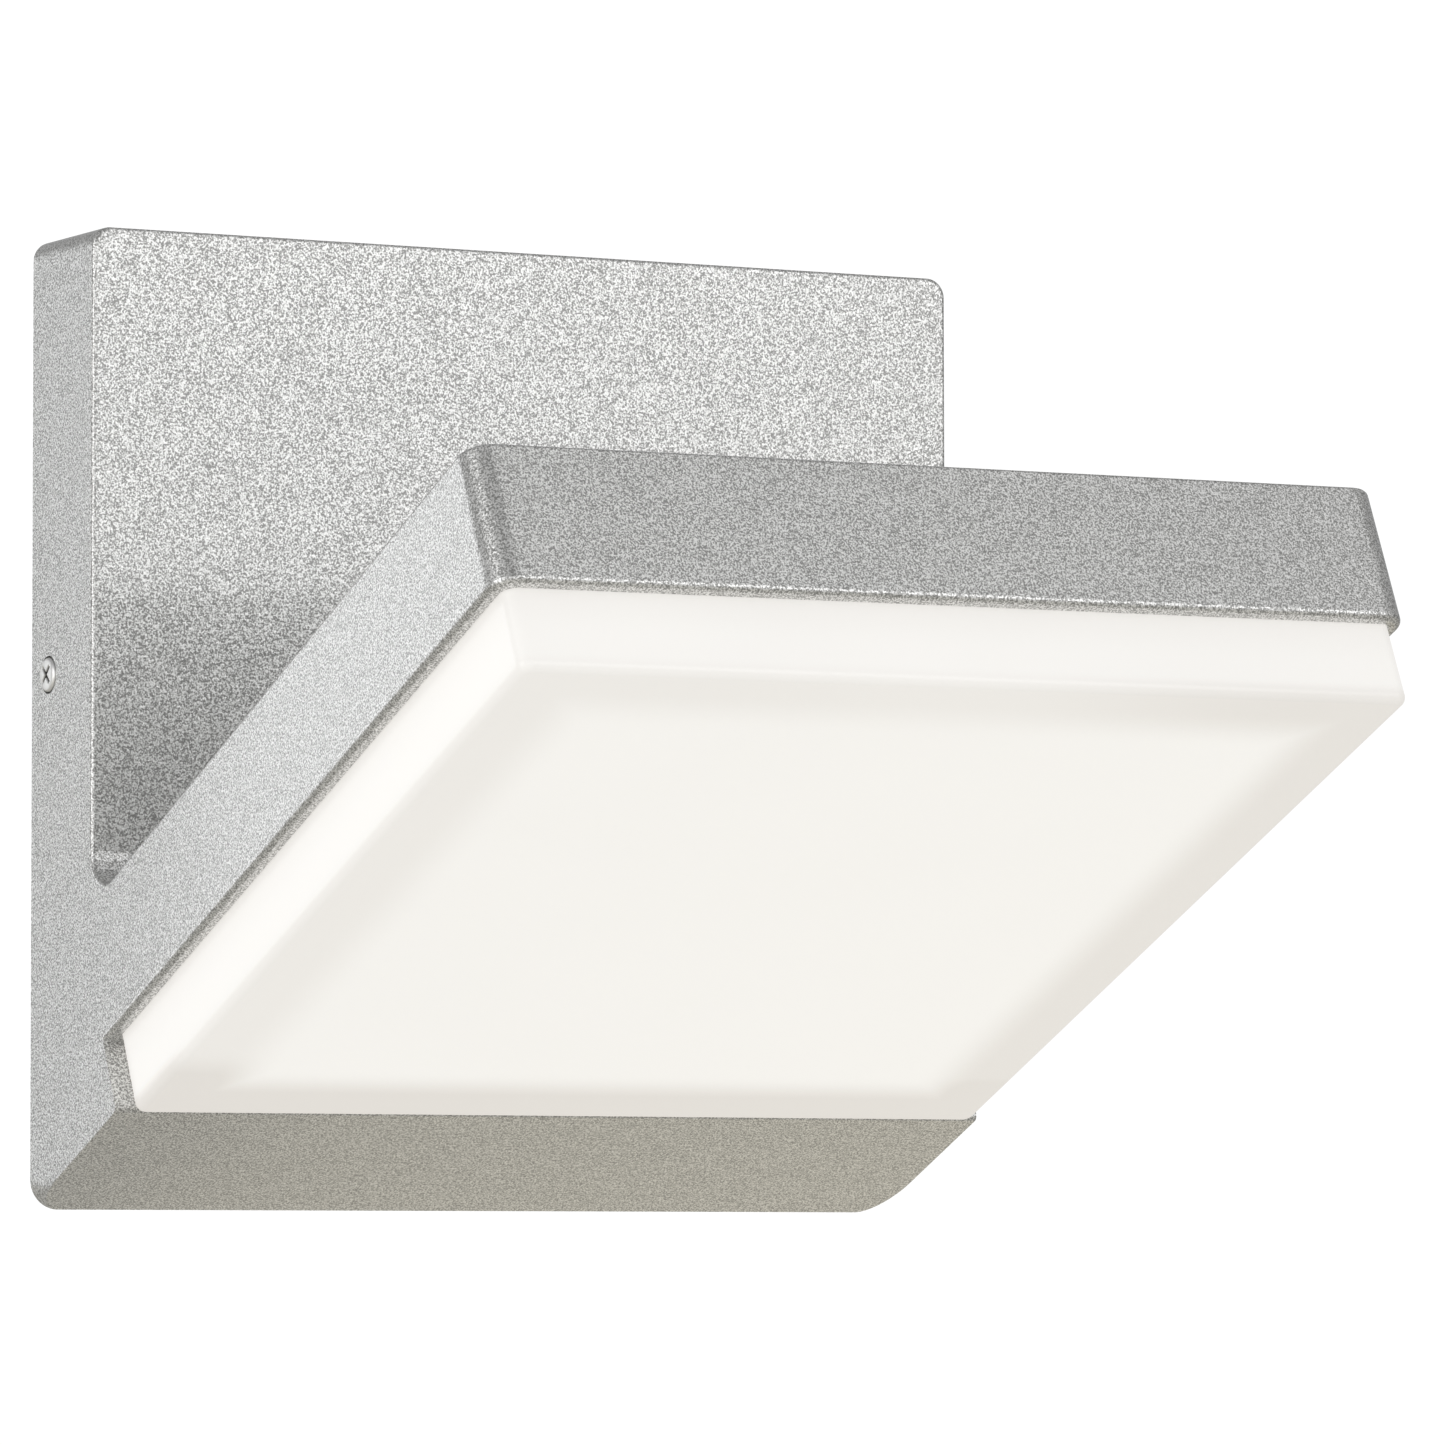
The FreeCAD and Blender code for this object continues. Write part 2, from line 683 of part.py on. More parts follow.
def board_layer(name, start, thickness, hole):
    """A flat sheet over the tray's floor with a hole at each corner screw."""
    body = head_body(name)
    sheet_sketch = sketch_on(body, "XY_Plane", lift=start)
    rounded_rectangle(sheet_sketch, "board_width", "board_length", "board_corner", y="-(tray_middle)")
    for across in ("-", ""):
        for end in ("-", "+"):
            spot_y = f"-(tray_middle) {end} board_hole_reach / 2"
            circle(sheet_sketch, hole, f"{across}board_hole_span / 2", spot_y)
    pad(sheet_sketch, thickness)
    return body


def reflector_sheet():
    """White film over the board, open round each lamp, each screw head and the plug."""
    body = board_layer("reflector_sheet", "mirror_face", "mirror_thickness", "screw_head + 2 * chip_gap")
    window = sketch_on(body, "XY_Plane", x="-chip_span / 2", y="-(tray_middle) - chip_reach / 2",
                       lift="mirror_face")
    gap = "2 * chip_gap"
    rectangle(window, f"chip_length + {gap}", f"chip_width + {gap}")
    one = cut(window, "mirror_thickness", reverse=True)
    repeat(body, [("X_Axis", "chip_span", "chip_rows"), ("Y_Axis", "chip_reach", "chip_rows")], [one])
    opening = sketch_on(body, "XY_Plane", lift="mirror_face")
    plug_y = "-(plug_near + plug_length / 2)"
    rectangle(opening, f"plug_width + {gap}", f"plug_length + {gap}", y=plug_y)
    cut(opening, "mirror_thickness", reverse=True)
    return body


def led_chips():
    """All the lamps on the board, as separate solids in one node."""
    body = head_body("led_chips")
    chip = sketch_on(body, "XY_Plane", x="-chip_span / 2", y="-(tray_middle) - chip_reach / 2",
                     lift="board_face - chip_height")
    rectangle(chip, "chip_length", "chip_width")
    pad(chip, "chip_height")
    repeat(body, [("X_Axis", "chip_span", "chip_rows"), ("Y_Axis", "chip_reach", "chip_rows")])
    return body


def board_plug():
    """The push-in terminal on the board, with a hole for each lead."""
    body = head_body("board_terminal")
    shell = sketch_on(body, "XY_Plane", y="-(plug_near + plug_length / 2)",
                      lift="board_face - plug_height")
    rectangle(shell, "plug_width", "plug_length")
    pad(shell, "plug_height")
    holes = sketch_on(body, "XZ_Plane", y="lead_hole_height", lift="plug_near")
    circle(holes, "lead", "-lead_spacing / 2")
    circle(holes, "lead", "lead_spacing / 2")
    cut(holes, "plug_length / 2", reverse=True)
    return body


# ---------------------------------------------------------------- screws

def screw(name, thread, head, head_height, length):
    """A cross-recess screw in a body of its own: its head on local +Z, its seat at the origin."""
    body = row_body(name)
    profile = sketch_on(body, "XZ_Plane")
    outline(profile, [
        ("0", f"-({length})"),
        (f"{thread} / 2 - point_chamfer", f"-({length})"),
        (f"{thread} / 2", f"point_chamfer - ({length})"),
        (f"{thread} / 2", "0"),
        (f"{head} / 2", "0"),
        (f"{head} / 2", f"{head_height} * head_land"),
        (f"{head} / 2 - {head_height} * (1 - head_land)", head_height),
        ("0", head_height),
    ])
    spin = body.newObject("PartDesign::Revolution", f"{name}_turned")
    spin.Profile = profile
    spin.ReferenceAxis = (profile, ["V_Axis"])
    spin.Angle = 360
    doc.recompute()
    reach, slit = f"{head} * recess_reach", f"{head} * recess_width"
    for width, height in ((reach, slit), (slit, reach)):
        recess = sketch_on(body, "XY_Plane", lift=head_height)
        rectangle(recess, width, height)
        cut(recess, f"{head_height} * recess_depth")
    return body


def place(body, x, y, z, axis, angle):
    """Stand a body at x, y, z, turned by an angle about an axis."""
    body.Placement = FreeCAD.Placement(V(0, 0, 0), FreeCAD.Rotation(axis, amount(angle)))
    bind(body, "Placement.Base.x", x)
    bind(body, "Placement.Base.y", y)
    bind(body, "Placement.Base.z", z)
    bind(body, "Placement.Rotation.Angle", angle)


def board_screws():
    """Four screws, heads down towards the diffuser, through film, board and pad."""
    body = screw("board_screws", "thread", "screw_head", "screw_head_height", "board_screw_length")
    repeat(body, [("X_Axis", "board_hole_span", "2"), ("Y_Axis", "board_hole_reach", "2")])
    along = "(tray_middle - board_hole_reach / 2)"
    deep = "board_face"
    place(body, "-board_hole_span / 2",
          f"-foot_out - {along} * cos(tilt) + {deep} * sin(tilt)",
          f"foot_up + {along} * sin(tilt) + {deep} * cos(tilt) - box_height",
          X_AXIS, "180 - tilt")
    return body


def driver_screws():
    body = screw("driver_screws", "thread", "screw_head", "screw_head_height", "driver_screw_length")
    repeat(body, [("X_Axis", "2 * driver_hole_x", "2")])
    place(body, "-driver_hole_x", "-(ear_face - ear_thickness)", "driver_up", X_AXIS, "-90")
    return body


def block_screw():
    body = screw("block_screw", "thread", "screw_head", "screw_head_height", "block_screw_length")
    place(body, "block_screw_x", "-(block_near + screw_head_height)", "-block_down", X_AXIS, "-90")
    return body


def earth_screw():
    length = "boss_height + front_wall / 3 - thread_end_gap"
    body = screw("earth_screw", "ground_thread", "ground_head", "ground_head_height", length)
    place(body, "earth_x", "-(ear_face - tag_thickness)", "-earth_down", X_AXIS, "-90")
    return body


def side_screws():
    """The two screws that hold the housing on the bracket's ears."""
    body = row_body("side_screws")
    face = "(plate_width / 2 + side_screw_rise)"
    seat = f"({face} - screw_head_height)"
    profile = sketch_on(body, "XY_Plane", y="-side_screw_out")
    outline(profile, [
        (f"{seat} - side_screw_length", "0"),
        (f"{seat} - side_screw_length", "thread / 2 - point_chamfer"),
        (f"{seat} - side_screw_length + point_chamfer", "thread / 2"),
        (seat, "thread / 2"),
        (seat, "screw_head / 2"),
        (f"{face} - side_screw_chamfer", "screw_head / 2"),
        (face, "screw_head / 2 - side_screw_chamfer"),
        (face, "0"),
    ])
    spin = body.newObject("PartDesign::Revolution", "side_screws_turned")
    spin.Profile = profile
    spin.ReferenceAxis = (profile, ["H_Axis"])
    spin.Angle = 360
    doc.recompute()
    half, thin = "screw_head * cross_reach", "screw_head * cross_half"
    diagonals = (
        [(f"{half} + {thin}", f"{half} - {thin}"), (f"{half} - {thin}", f"{half} + {thin}"),
         (f"-{half} - {thin}", f"-{half} + {thin}"), (f"-{half} + {thin}", f"-{half} - {thin}")],
        [(f"-{half} - {thin}", f"{half} - {thin}"), (f"-{half} + {thin}", f"{half} + {thin}"),
         (f"{half} + {thin}", f"-{half} + {thin}"), (f"{half} - {thin}", f"-{half} - {thin}")],
    )
    for corners in diagonals:
        recess = sketch_on(body, "YZ_Plane", x="-side_screw_out", lift=face)
        outline(recess, corners)
        cut(recess, "screw_recess")
    mirror(body)
    return body


# ---------------------------------------------------------------- wall side

def wall_gasket():
    body = row_body("wall_gasket")
    ring = sketch_on(body, "XZ_Plane")
    gasket_ring_outside(ring)
    inner = "2 * gasket_width"
    width, height = f"gasket_outer - {inner}", f"gasket_top - gasket_bottom - {inner}"
    rounded_rectangle(ring, width, height, "inner_corner", y="(gasket_top + gasket_bottom) / 2")
    pad(ring, "gasket_thickness")
    return body


def wall_bracket():
    """A steel strap on the wall box, with two slots and two threaded ears."""
    body = row_body("wall_bracket")
    shape = sketch_on(body, "XY_Plane")
    edge = "ear_x"
    outline(shape, [
        (f"-{edge}", "0"),
        (edge, "0"),
        (edge, "-ear_out"),
        (f"{edge} - bracket_thickness", "-ear_out"),
        (f"{edge} - bracket_thickness", "-bracket_thickness"),
        (f"-{edge} + bracket_thickness", "-bracket_thickness"),
        (f"-{edge} + bracket_thickness", "-ear_out"),
        (f"-{edge}", "-ear_out"),
    ])
    pad(shape, "bracket_height", both=True)
    half = amount("ear_x")

    def is_bend(edge_line):
        middle = edge_line.CenterOfMass
        return runs_along(edge_line, Z_AXIS) and abs(abs(middle.x) - half) < 1e-3 and abs(middle.y) < 1e-3

    round_edges(body, "bracket_thickness", is_bend)
    holes = sketch_on(body, "XZ_Plane")
    slot(holes, "slot_length", "slot_width", x="slot_spacing / 2")
    slot(holes, "slot_length", "slot_width", x="-slot_spacing / 2")
    circle(holes, "wire_hole")
    circle(holes, "ground_thread", "ground_screw_x")
    cut(holes, "bracket_thickness", reverse=True)
    threads = sketch_on(body, "YZ_Plane", x="-side_screw_out")
    circle(threads, "thread")
    cut(threads, "plate_width", both=True)
    return body


def bracket_ground_screw():
    length = "bracket_thickness"
    body = screw("bracket_ground_screw", "ground_thread", "ground_head", "ground_head_height", length)
    place(body, "ground_screw_x", "-bracket_thickness", "0", X_AXIS, "90")
    return body


# ---------------------------------------------------------------- driver

def driver_case():
    """The driver's case, open towards the plate's front, with an ear at each end."""
    body = row_body("driver_case")
    outside = sketch_on(body, "XZ_Plane", y="driver_up", lift="driver_near")
    rounded_rectangle(outside, "driver_length", "driver_height", "driver_corner")
    pad(outside, "driver_depth - driver_wall")
    ears = sketch_on(body, "XZ_Plane", y="driver_up", lift="ear_face - ear_thickness")
    rounded_rectangle(ears, "driver_length + 2 * ear_length", "ear_height", "driver_corner")
    circle(ears, "thread_clearance", "driver_hole_x")
    circle(ears, "thread_clearance", "-driver_hole_x")
    pad(ears, "ear_thickness")
    inside = sketch_on(body, "XZ_Plane", y="driver_up", lift="driver_near + driver_wall")
    wall = "2 * driver_wall"
    rounded_rectangle(inside, f"driver_length - {wall}", f"driver_height - {wall}", "inner_corner")
    cut(inside, "driver_depth", reverse=True)
    exits = sketch_on(body, "XY_Plane", y="-bush_out", lift="driver_up")
    circle(exits, "bush_neck", "bush_x")
    circle(exits, "bush_neck", "-bush_x")
    cut(exits, "driver_height")
    return body


def driver_lid():
    body = row_body("driver_lid")
    plate = sketch_on(body, "XZ_Plane", y="driver_up", lift="inner_front - driver_wall")
    rounded_rectangle(plate, "driver_length", "driver_height", "driver_corner")
    pad(plate, "driver_wall")
    return body


def driver_board():
    body = row_body("driver_board")
    plate = sketch_on(body, "XZ_Plane", y="driver_up", lift="driver_board_near")
    wall = "2 * (driver_wall + fit_gap)"
    rounded_rectangle(plate, f"driver_length - {wall}", f"driver_height - {wall}", "inner_corner")
    pad(plate, "driver_board")
    return body


def driver_transformer():
    """A wound transformer on the driver's board, waisted where its winding shows."""
    body = row_body("driver_transformer")
    height = "(driver_room - transformer_gap)"
    near = f"driver_board_near - {height}"
    base = sketch_on(body, "XZ_Plane", x="transformer_x", y="driver_up", lift=near)
    rounded_rectangle(base, "transformer_width", "driver_height * transformer_share", "inner_corner")
    pad(base, height)
    waist = sketch_on(body, "XY_Plane", x="transformer_x", lift="driver_up")
    middle = f"{height} / 2 - driver_board_near"
    for side in ("-", ""):
        rectangle(waist, "waist_width", f"{height} * waist_share", f"{side}transformer_width / 2", middle)
    cut(waist, "driver_height", both=True)
    return body


def driver_capacitors():
    """Three cans on the driver's board."""
    body = row_body("driver_capacitors")
    height = "(driver_room - can_gap)"
    cans = sketch_on(body, "XZ_Plane", y="driver_up + can_up", lift=f"driver_board_near - {height}")
    for across in ("-can_left", "can_pitch - can_left", "can_right"):
        circle(cans, "can_diameter", across)
    pad(cans, height)
    return body


def driver_bushes():
    """A soft bush under each end of the case, where a pair of leads comes out."""
    body = row_body("driver_bushes")
    neck = sketch_on(body, "XY_Plane", y="-bush_out", lift="driver_low + driver_wall")
    collar = sketch_on(body, "XY_Plane", y="-bush_out", lift="driver_low")
    for sketch, diameter, length in ((neck, "bush_neck", "driver_wall"),
                                     (collar, "bush_diameter", "bush_length")):
        for side in ("-", ""):
            circle(sketch, diameter, f"{side}bush_x")
            circle(sketch, "lead", f"{side}bush_x - lead_spacing / 2")
            circle(sketch, "lead", f"{side}bush_x + lead_spacing / 2")
        pad(sketch, length, reverse=True)
    return body


# ---------------------------------------------------------------- terminal block and earth

def terminal_block():
    """Three poles in a row, each with a lead hole above and a supply hole below."""
    body = row_body("terminal_block")
    centre = {"x": "block_x", "y": "-block_down", "lift": "block_near"}
    block = sketch_on(body, "XZ_Plane", **centre)
    rounded_rectangle(block, "block_width", "block_height", "inner_corner")
    pad(block, "block_depth")
    shaft = sketch_on(body, "XZ_Plane", **centre)
    circle(shaft, "thread_clearance", "pole_pitch / 2")
    cut(shaft, "block_depth", reverse=True)
    sink = sketch_on(body, "XZ_Plane", **centre)
    circle(sink, "screw_head + head_clearance", "pole_pitch / 2")
    cut(sink, "screw_head_height", reverse=True)
    poles = {"x": "block_x", "y": "-pole_out"}
    for hole, lift, depth in (("lead", "block_top", "block_height / 3"),
                              ("supply_hole", "-block_down", "block_height / 2")):
        mouths = sketch_on(body, "XY_Plane", lift=lift, **poles)
        for pole in ("-pole_pitch", "0", "pole_pitch"):
            circle(mouths, hole, pole)
        cut(mouths, depth)
    return body


def terminal_clamps():
    """The brass clamp screws, one over each lead end, flush with the block's face."""
    body = row_body("terminal_clamps")
    heads = sketch_on(body, "XZ_Plane", x="block_x", y="-block_down", lift="block_near - clamp_rise")
    for pole in ("-pole_pitch", "0", "pole_pitch"):
        for side in ("-", ""):
            circle(heads, "clamp_screw", pole, f"{side}block_height * clamp_share")
    pad(heads, "clamp_rise")
    return body


def earth_tag():
    """A ring under the earth screw with a crimped barrel for the earth lead."""
    body = row_body("earth_tag")
    ring = sketch_on(body, "XZ_Plane", x="earth_x", y="-earth_down", lift="ear_face - tag_thickness")
    circle(ring, "earth_boss - tag_margin")
    circle(ring, "ground_thread")
    pad(ring, "tag_thickness")
    tongue = sketch_on(body, "XZ_Plane", x="earth_x", y="-earth_down", lift="ear_face - tag_thickness")
    reach = "(earth_x - tag_end - ground_thread)"
    rectangle(tongue, reach, "tag_barrel", f"-{reach} / 2 - ground_thread")
    pad(tongue, "tag_thickness")
    barrel = sketch_on(body, "YZ_Plane", x="-tag_out", y="-earth_down", lift="tag_end")
    circle(barrel, "tag_barrel")
    circle(barrel, "lead")
    pad(barrel, "tag_barrel_length")
    return body


# ---------------------------------------------------------------- leads

def lead_grommet():
    """The soft grommet in the neck, with one flange inside the tray and a hole for each lead."""
    body = head_body("lead_grommet")
    for diameter, start, length in (("lead_hole", "-step_wall", "step_wall + well_start"),
                                    ("grommet_flange", "well_start", "grommet_lip")):
        disc = sketch_on(body, "XZ_Plane", y="lead_hole_height", lift=start)
        circle(disc, diameter)
        circle(disc, "lead", "-lead_spacing / 2")
        circle(disc, "lead", "lead_spacing / 2")
        pad(disc, length)
    return body


def path_wire(spots, radius):
    """Straight runs joined by tangent arcs of one radius."""
    edges = []
    start = spots[0]
    for before, corner, after in zip(spots, spots[1:], spots[2:]):
        back = (before - corner).normalize()
        ahead = (after - corner).normalize()
        half = back.getAngle(ahead) / 2
        reach = radius / math.tan(half)
        crest = corner + (back + ahead).normalize() * (radius / math.sin(half) - radius)
        edges.append(Part.LineSegment(start, corner + back * reach).toShape())
        edges.append(Part.Arc(corner + back * reach, crest, corner + ahead * reach).toShape())
        start = corner + ahead * reach
    edges.append(Part.LineSegment(start, spots[-1]).toShape())
    return Part.Wire(edges)


def lead(name, corners):
    """An insulated lead along corners given as x, out and height rules."""
    spots = [point(x, f"-({out})", up) for x, out, up in corners]
    path = path_wire(spots, amount("lead_bend"))
    heading = spots[1] - spots[0]
    section = Part.Wire(Part.makeCircle(amount("lead") / 2, spots[0], heading))
    feature = doc.addObject("Part::Feature", name)
    feature.Label = name
    feature.Shape = path.makePipeShell([section], True, False)
    feature.Placement = FreeCAD.Placement()
    area = math.pi * amount("lead") ** 2 / 4
    if abs(feature.Shape.Volume / (area * path.Length) - 1) > 0.01:
        raise RuntimeError(f"{name} has the wrong volume")
    return feature


def neck_spot(along):
    """Out and height of the lead hole's axis, at a distance along the rim."""
    out = f"foot_out + ({along}) * cos(tilt) - lead_hole_height * sin(tilt)"
    up = f"foot_up + ({along}) * sin(tilt) + lead_hole_height * cos(tilt) - box_height"
    return out, up


def output_lead(name, shift):
    """From the driver down past the bracket, through the neck and into the board's terminal."""
    turn_out, turn_up = neck_spot("-step_wall - neck_run")
    end_out, end_up = neck_spot("plug_near + plug_length / 2")
    return lead(name, [
        (f"-bush_x + {shift}", "bush_out", "driver_low + driver_wall"),
        (f"-bush_x + {shift}", "bush_out", "driver_low - output_drop"),
        (shift, turn_out, f"{turn_up} + output_drop"),
        (shift, turn_out, turn_up),
        (shift, end_out, end_up),
    ])


def input_lead(name, shift, pole):
    """From the driver straight down into one pole of the terminal block."""
    return lead(name, [
        (f"bush_x + {shift}", "bush_out", "driver_low + driver_wall"),
        (f"bush_x + {shift}", "bush_out", "driver_low - input_drop"),
        (f"block_x + {pole}", "pole_out", "block_top + input_rise"),
        (f"block_x + {pole}", "pole_out", "block_top - block_height / 3"),
    ])


def earth_lead():
    """From the block's earth pole up and across to the earth screw's tag."""
    return lead("earth_lead", [
        ("block_x + pole_pitch", "pole_out", "block_top - block_height / 3"),
        ("block_x + pole_pitch", "pole_out", "block_top + earth_rise"),
        ("block_x + pole_pitch + earth_step", "tag_out", "-earth_down"),
        ("tag_end + tag_barrel_length", "tag_out", "-earth_down"),
    ])


# ---------------------------------------------------------------- the whole light

def build_all():
    housing()
    diffuser()
    diffuser_seal()
    board_layer("thermal_pad", "board_top", "pad_thickness", "thread_clearance")
    board_layer("led_board", "board_face", "board_thickness", "thread_clearance")
    reflector_sheet()
    led_chips()
    board_plug()
    board_screws()
    lead_grommet()
    wall_gasket()
    wall_bracket()
    bracket_ground_screw()
    side_screws()
    driver_case()
    driver_lid()
    driver_board()
    driver_transformer()
    driver_capacitors()
    driver_bushes()
    driver_screws()
    terminal_block()
    terminal_clamps()
    block_screw()
    earth_tag()
    earth_screw()
    output_lead("output_lead_positive", "-lead_spacing / 2")
    output_lead("output_lead_negative", "lead_spacing / 2")
    input_lead("input_lead_line", "-lead_spacing / 2", "-pole_pitch")
    input_lead("input_lead_neutral", "lead_spacing / 2", "0")
    earth_lead()


def sub_parts():
    kinds = ("PartDesign::Body", "Part::Feature")
    return [item for item in doc.Objects if item.TypeId in kinds]


def check():
    """Stop before anything is written if an object failed or a shape isn't sound."""
    failed = [item.Name for item in doc.Objects if {"Invalid", "Error"} & set(item.State)]
    unsound = [part.Label for part in sub_parts() if part.Shape.isNull() or not part.Shape.isValid()]
    if failed or unsound:
        raise RuntimeError(f"failed: {failed}, unsound: {unsound}")


def write():
    os.makedirs("parts", exist_ok=True)
    for part in sub_parts():
        part.Shape.exportStep(f"parts/{part.Label}.step")
        solids = len(part.Shape.Solids)
        print(f"{part.Label}: {solids} solids, {part.Shape.Volume:.0f} cubic mm")


doc = FreeCAD.newDocument("wall_light")
sheet = make_sheet()
doc.recompute()
build_all()
doc.recompute()
check()
write()
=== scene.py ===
# %% [markdown]
# # An outdoor wall light
# A square cast wall plate carries a square head that leans up and out from it. A frosted
# diffuser closes the head from below, and the driver and wiring sit in the plate's hollow back.
# The imported CAD model is the frame: every piece here sits in its place and is seen in its metres.

# %% Load the frame
import math

import bmesh
import bpy
from mathutils import Matrix, Vector


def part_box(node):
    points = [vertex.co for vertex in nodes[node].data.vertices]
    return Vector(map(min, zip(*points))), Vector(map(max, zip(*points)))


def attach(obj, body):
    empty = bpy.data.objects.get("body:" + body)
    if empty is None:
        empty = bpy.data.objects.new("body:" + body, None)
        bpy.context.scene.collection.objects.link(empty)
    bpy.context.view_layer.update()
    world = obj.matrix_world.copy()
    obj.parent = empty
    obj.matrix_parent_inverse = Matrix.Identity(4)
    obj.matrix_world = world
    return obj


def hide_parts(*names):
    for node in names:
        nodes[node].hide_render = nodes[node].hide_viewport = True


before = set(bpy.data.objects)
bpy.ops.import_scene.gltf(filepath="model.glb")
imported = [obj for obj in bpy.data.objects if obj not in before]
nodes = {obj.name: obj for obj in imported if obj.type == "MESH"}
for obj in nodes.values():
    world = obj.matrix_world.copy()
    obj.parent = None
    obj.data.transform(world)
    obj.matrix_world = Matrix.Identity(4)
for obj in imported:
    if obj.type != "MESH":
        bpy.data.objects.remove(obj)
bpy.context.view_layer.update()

MM = 0.001

# %% [markdown]
# ## Shader sums
# A finish is a small program of nodes. Wiring each Math node by hand hides what is being worked
# out, so one class wraps a socket and turns +, -, * and / into Math nodes. A line such as
# 1.0 - wall then reads as the sum that it is.

# %% A socket that can be used in sums


class Signal:
    """One output of a shader node."""

    def __init__(self, graph, socket):
        self.graph = graph
        self.socket = socket

    def __add__(self, other):
        return self.graph.sum_node("ADD", self, other)

    def __radd__(self, other):
        return self.graph.sum_node("ADD", other, self)

    def __sub__(self, other):
        return self.graph.sum_node("SUBTRACT", self, other)

    def __rsub__(self, other):
        return self.graph.sum_node("SUBTRACT", other, self)

    def __mul__(self, other):
        return self.graph.sum_node("MULTIPLY", self, other)

    def __rmul__(self, other):
        return self.graph.sum_node("MULTIPLY", other, self)

    def __truediv__(self, other):
        return self.graph.sum_node("DIVIDE", self, other)

    def __rtruediv__(self, other):
        return self.graph.sum_node("DIVIDE", other, self)


# %% [markdown]
# ## Any other node
# Noise, colour mixes and relief aren't sums. One method adds any node by its type: its settings
# come first, because some of them change which sockets it has, and then its sockets get a value
# or a link.

# %% A tree of nodes


class Graph:
    """A node tree under construction."""

    def __init__(self, tree):
        self.tree = tree
        tree.nodes.clear()

    def node(self, kind, settings=(), sockets=(), output=0):
        """Add a node and give one of its outputs, or the node itself if it has none."""
        made = self.tree.nodes.new(kind)
        for name, value in dict(settings).items():
            setattr(made, name, value)
        for name, value in dict(sockets).items():
            if isinstance(value, Signal):
                self.tree.links.new(value.socket, made.inputs[name])
            else:
                made.inputs[name].default_value = value
        return Signal(self, made.outputs[output]) if made.outputs else made

    def sum_node(self, operation, *values):
        """A Math node, also for what has no sign of its own, such as ABSOLUTE."""
        return self.node("ShaderNodeMath", {"operation": operation}, dict(enumerate(values)))


# %% [markdown]
# ## Patterns that the finishes share
# Every finish of this light is laid out in metres from its own place, so a grain has the same
# size on a screw as on the plate. The sizes passed to noise and bump are real lengths.

# %% Patterns


class PatternGraph(Graph):
    """A node tree with the patterns that this light's finishes are made of."""

    def place(self):
        """Where a point is on the light, in metres."""
        return self.node("ShaderNodeTexCoord", output="Object")

    def split(self, vector):
        """The three numbers of a vector."""
        parts = self.tree.nodes.new("ShaderNodeSeparateXYZ")
        self.tree.links.new(vector.socket, parts.inputs[0])
        return [Signal(self, part) for part in parts.outputs]

    def reach(self, first, second):
        """How long the line is that goes first one way and second the other."""
        pair = self.node("ShaderNodeCombineXYZ", (), {0: first, 1: second})
        return self.node("ShaderNodeVectorMath", {"operation": "LENGTH"}, {0: pair}, 1)

    def step(self, value, low, high, start=0.0, end=1.0):
        """A smooth change from start to end while value goes from low to high."""
        return self.node("ShaderNodeMapRange", {"interpolation_type": "SMOOTHSTEP"},
                         {0: value, 1: low, 2: high, 3: start, 4: end})

    def mix(self, share, first, second):
        """A colour that goes from first to second as share goes from 0 to 1."""
        return self.node("ShaderNodeMix", {"data_type": "RGBA"}, {0: share, 6: first, 7: second}, 2)

    def noise(self, where, size, detail=2.0, roughness=0.5):
        """Even noise around a half, with lumps of about that size in metres."""
        return self.node("ShaderNodeTexNoise", (), {"Vector": where, "Scale": 1 / size,
                                                    "Detail": detail, "Roughness": roughness})

    def bump(self, height, depth):
        """Relief that is depth metres deep where height goes from 0 to 1."""
        return self.node("ShaderNodeBump", (), {"Height": height, "Distance": depth})


# %% [markdown]
# ## Finishes and who wears them
# A finish is one Principled shader. What varies over a surface comes from its function of nodes,
# and what is the same all over is set on the shader's own sockets, because an export keeps those.

# %% A finish


def grey(level):
    """An opaque grey."""
    return (level, level, level, 1.0)


def finish(name, surface, constants=()):
    """A material whose Principled shader gets the constants and what surface(graph) returns."""
    material = bpy.data.materials.new(name)
    material.use_nodes = True
    graph = PatternGraph(material.node_tree)
    shader = graph.node("ShaderNodeBsdfPrincipled", (), {**dict(constants), **surface(graph)})
    graph.node("ShaderNodeOutputMaterial", (), {"Surface": shader})
    return material


def wear(node_names, material):
    """Give CAD nodes a finish."""
    for node_name in node_names:
        for index in range(len(nodes[node_name].data.materials)):
            nodes[node_name].data.materials[index] = material
    print(f"{material.name}: {', '.join(node_names)}")


# %% [markdown]
# ## Where the head is
# The head leans out at the tilt from the foot of its rim. Patterns that belong to the head, such
# as the glow of the diffuser, are laid out in its own directions: across, along and into it.
# Turning the coordinates with two sums is simpler than giving the head an origin of its own.

# %% The head's directions

TILT = math.radians(24.5)
FOOT_OUT = 26.61 * MM
FOOT_HEIGHT = -55.67 * MM
TRAY_MIDDLE = 70.4 * MM


def head_place(graph, where):
    """How far a point lies across the head, along it from its middle, and into it."""
    x, y, z = graph.split(where)
    outward = y * -1.0 - FOOT_OUT
    upward = z - FOOT_HEIGHT
    along = outward * math.cos(TILT) + upward * math.sin(TILT) - TRAY_MIDDLE
    into = upward * math.cos(TILT) - outward * math.sin(TILT)
    return x, along, into


print(f"the head leans {math.degrees(TILT):.1f} degrees, its foot is {FOOT_OUT / MM:.1f} mm out")

# %% [markdown]
# ## Powder-coated casting
# The casting has a metallic powder coat: aluminium flakes in a grey binder, under a clear layer.
# The flakes lie at many small angles, so each catches the light by itself and the surface reads
# as a fine speckle. Real flakes would need millions of faces, so two noises stand in for them: a
# fine one for the flakes, and a coarser one that also gives the coat its low relief. The clear
# layer is the shader's coat: it mirrors what stands near, so the plate dimly shows the head.

# %% Silver powder coat

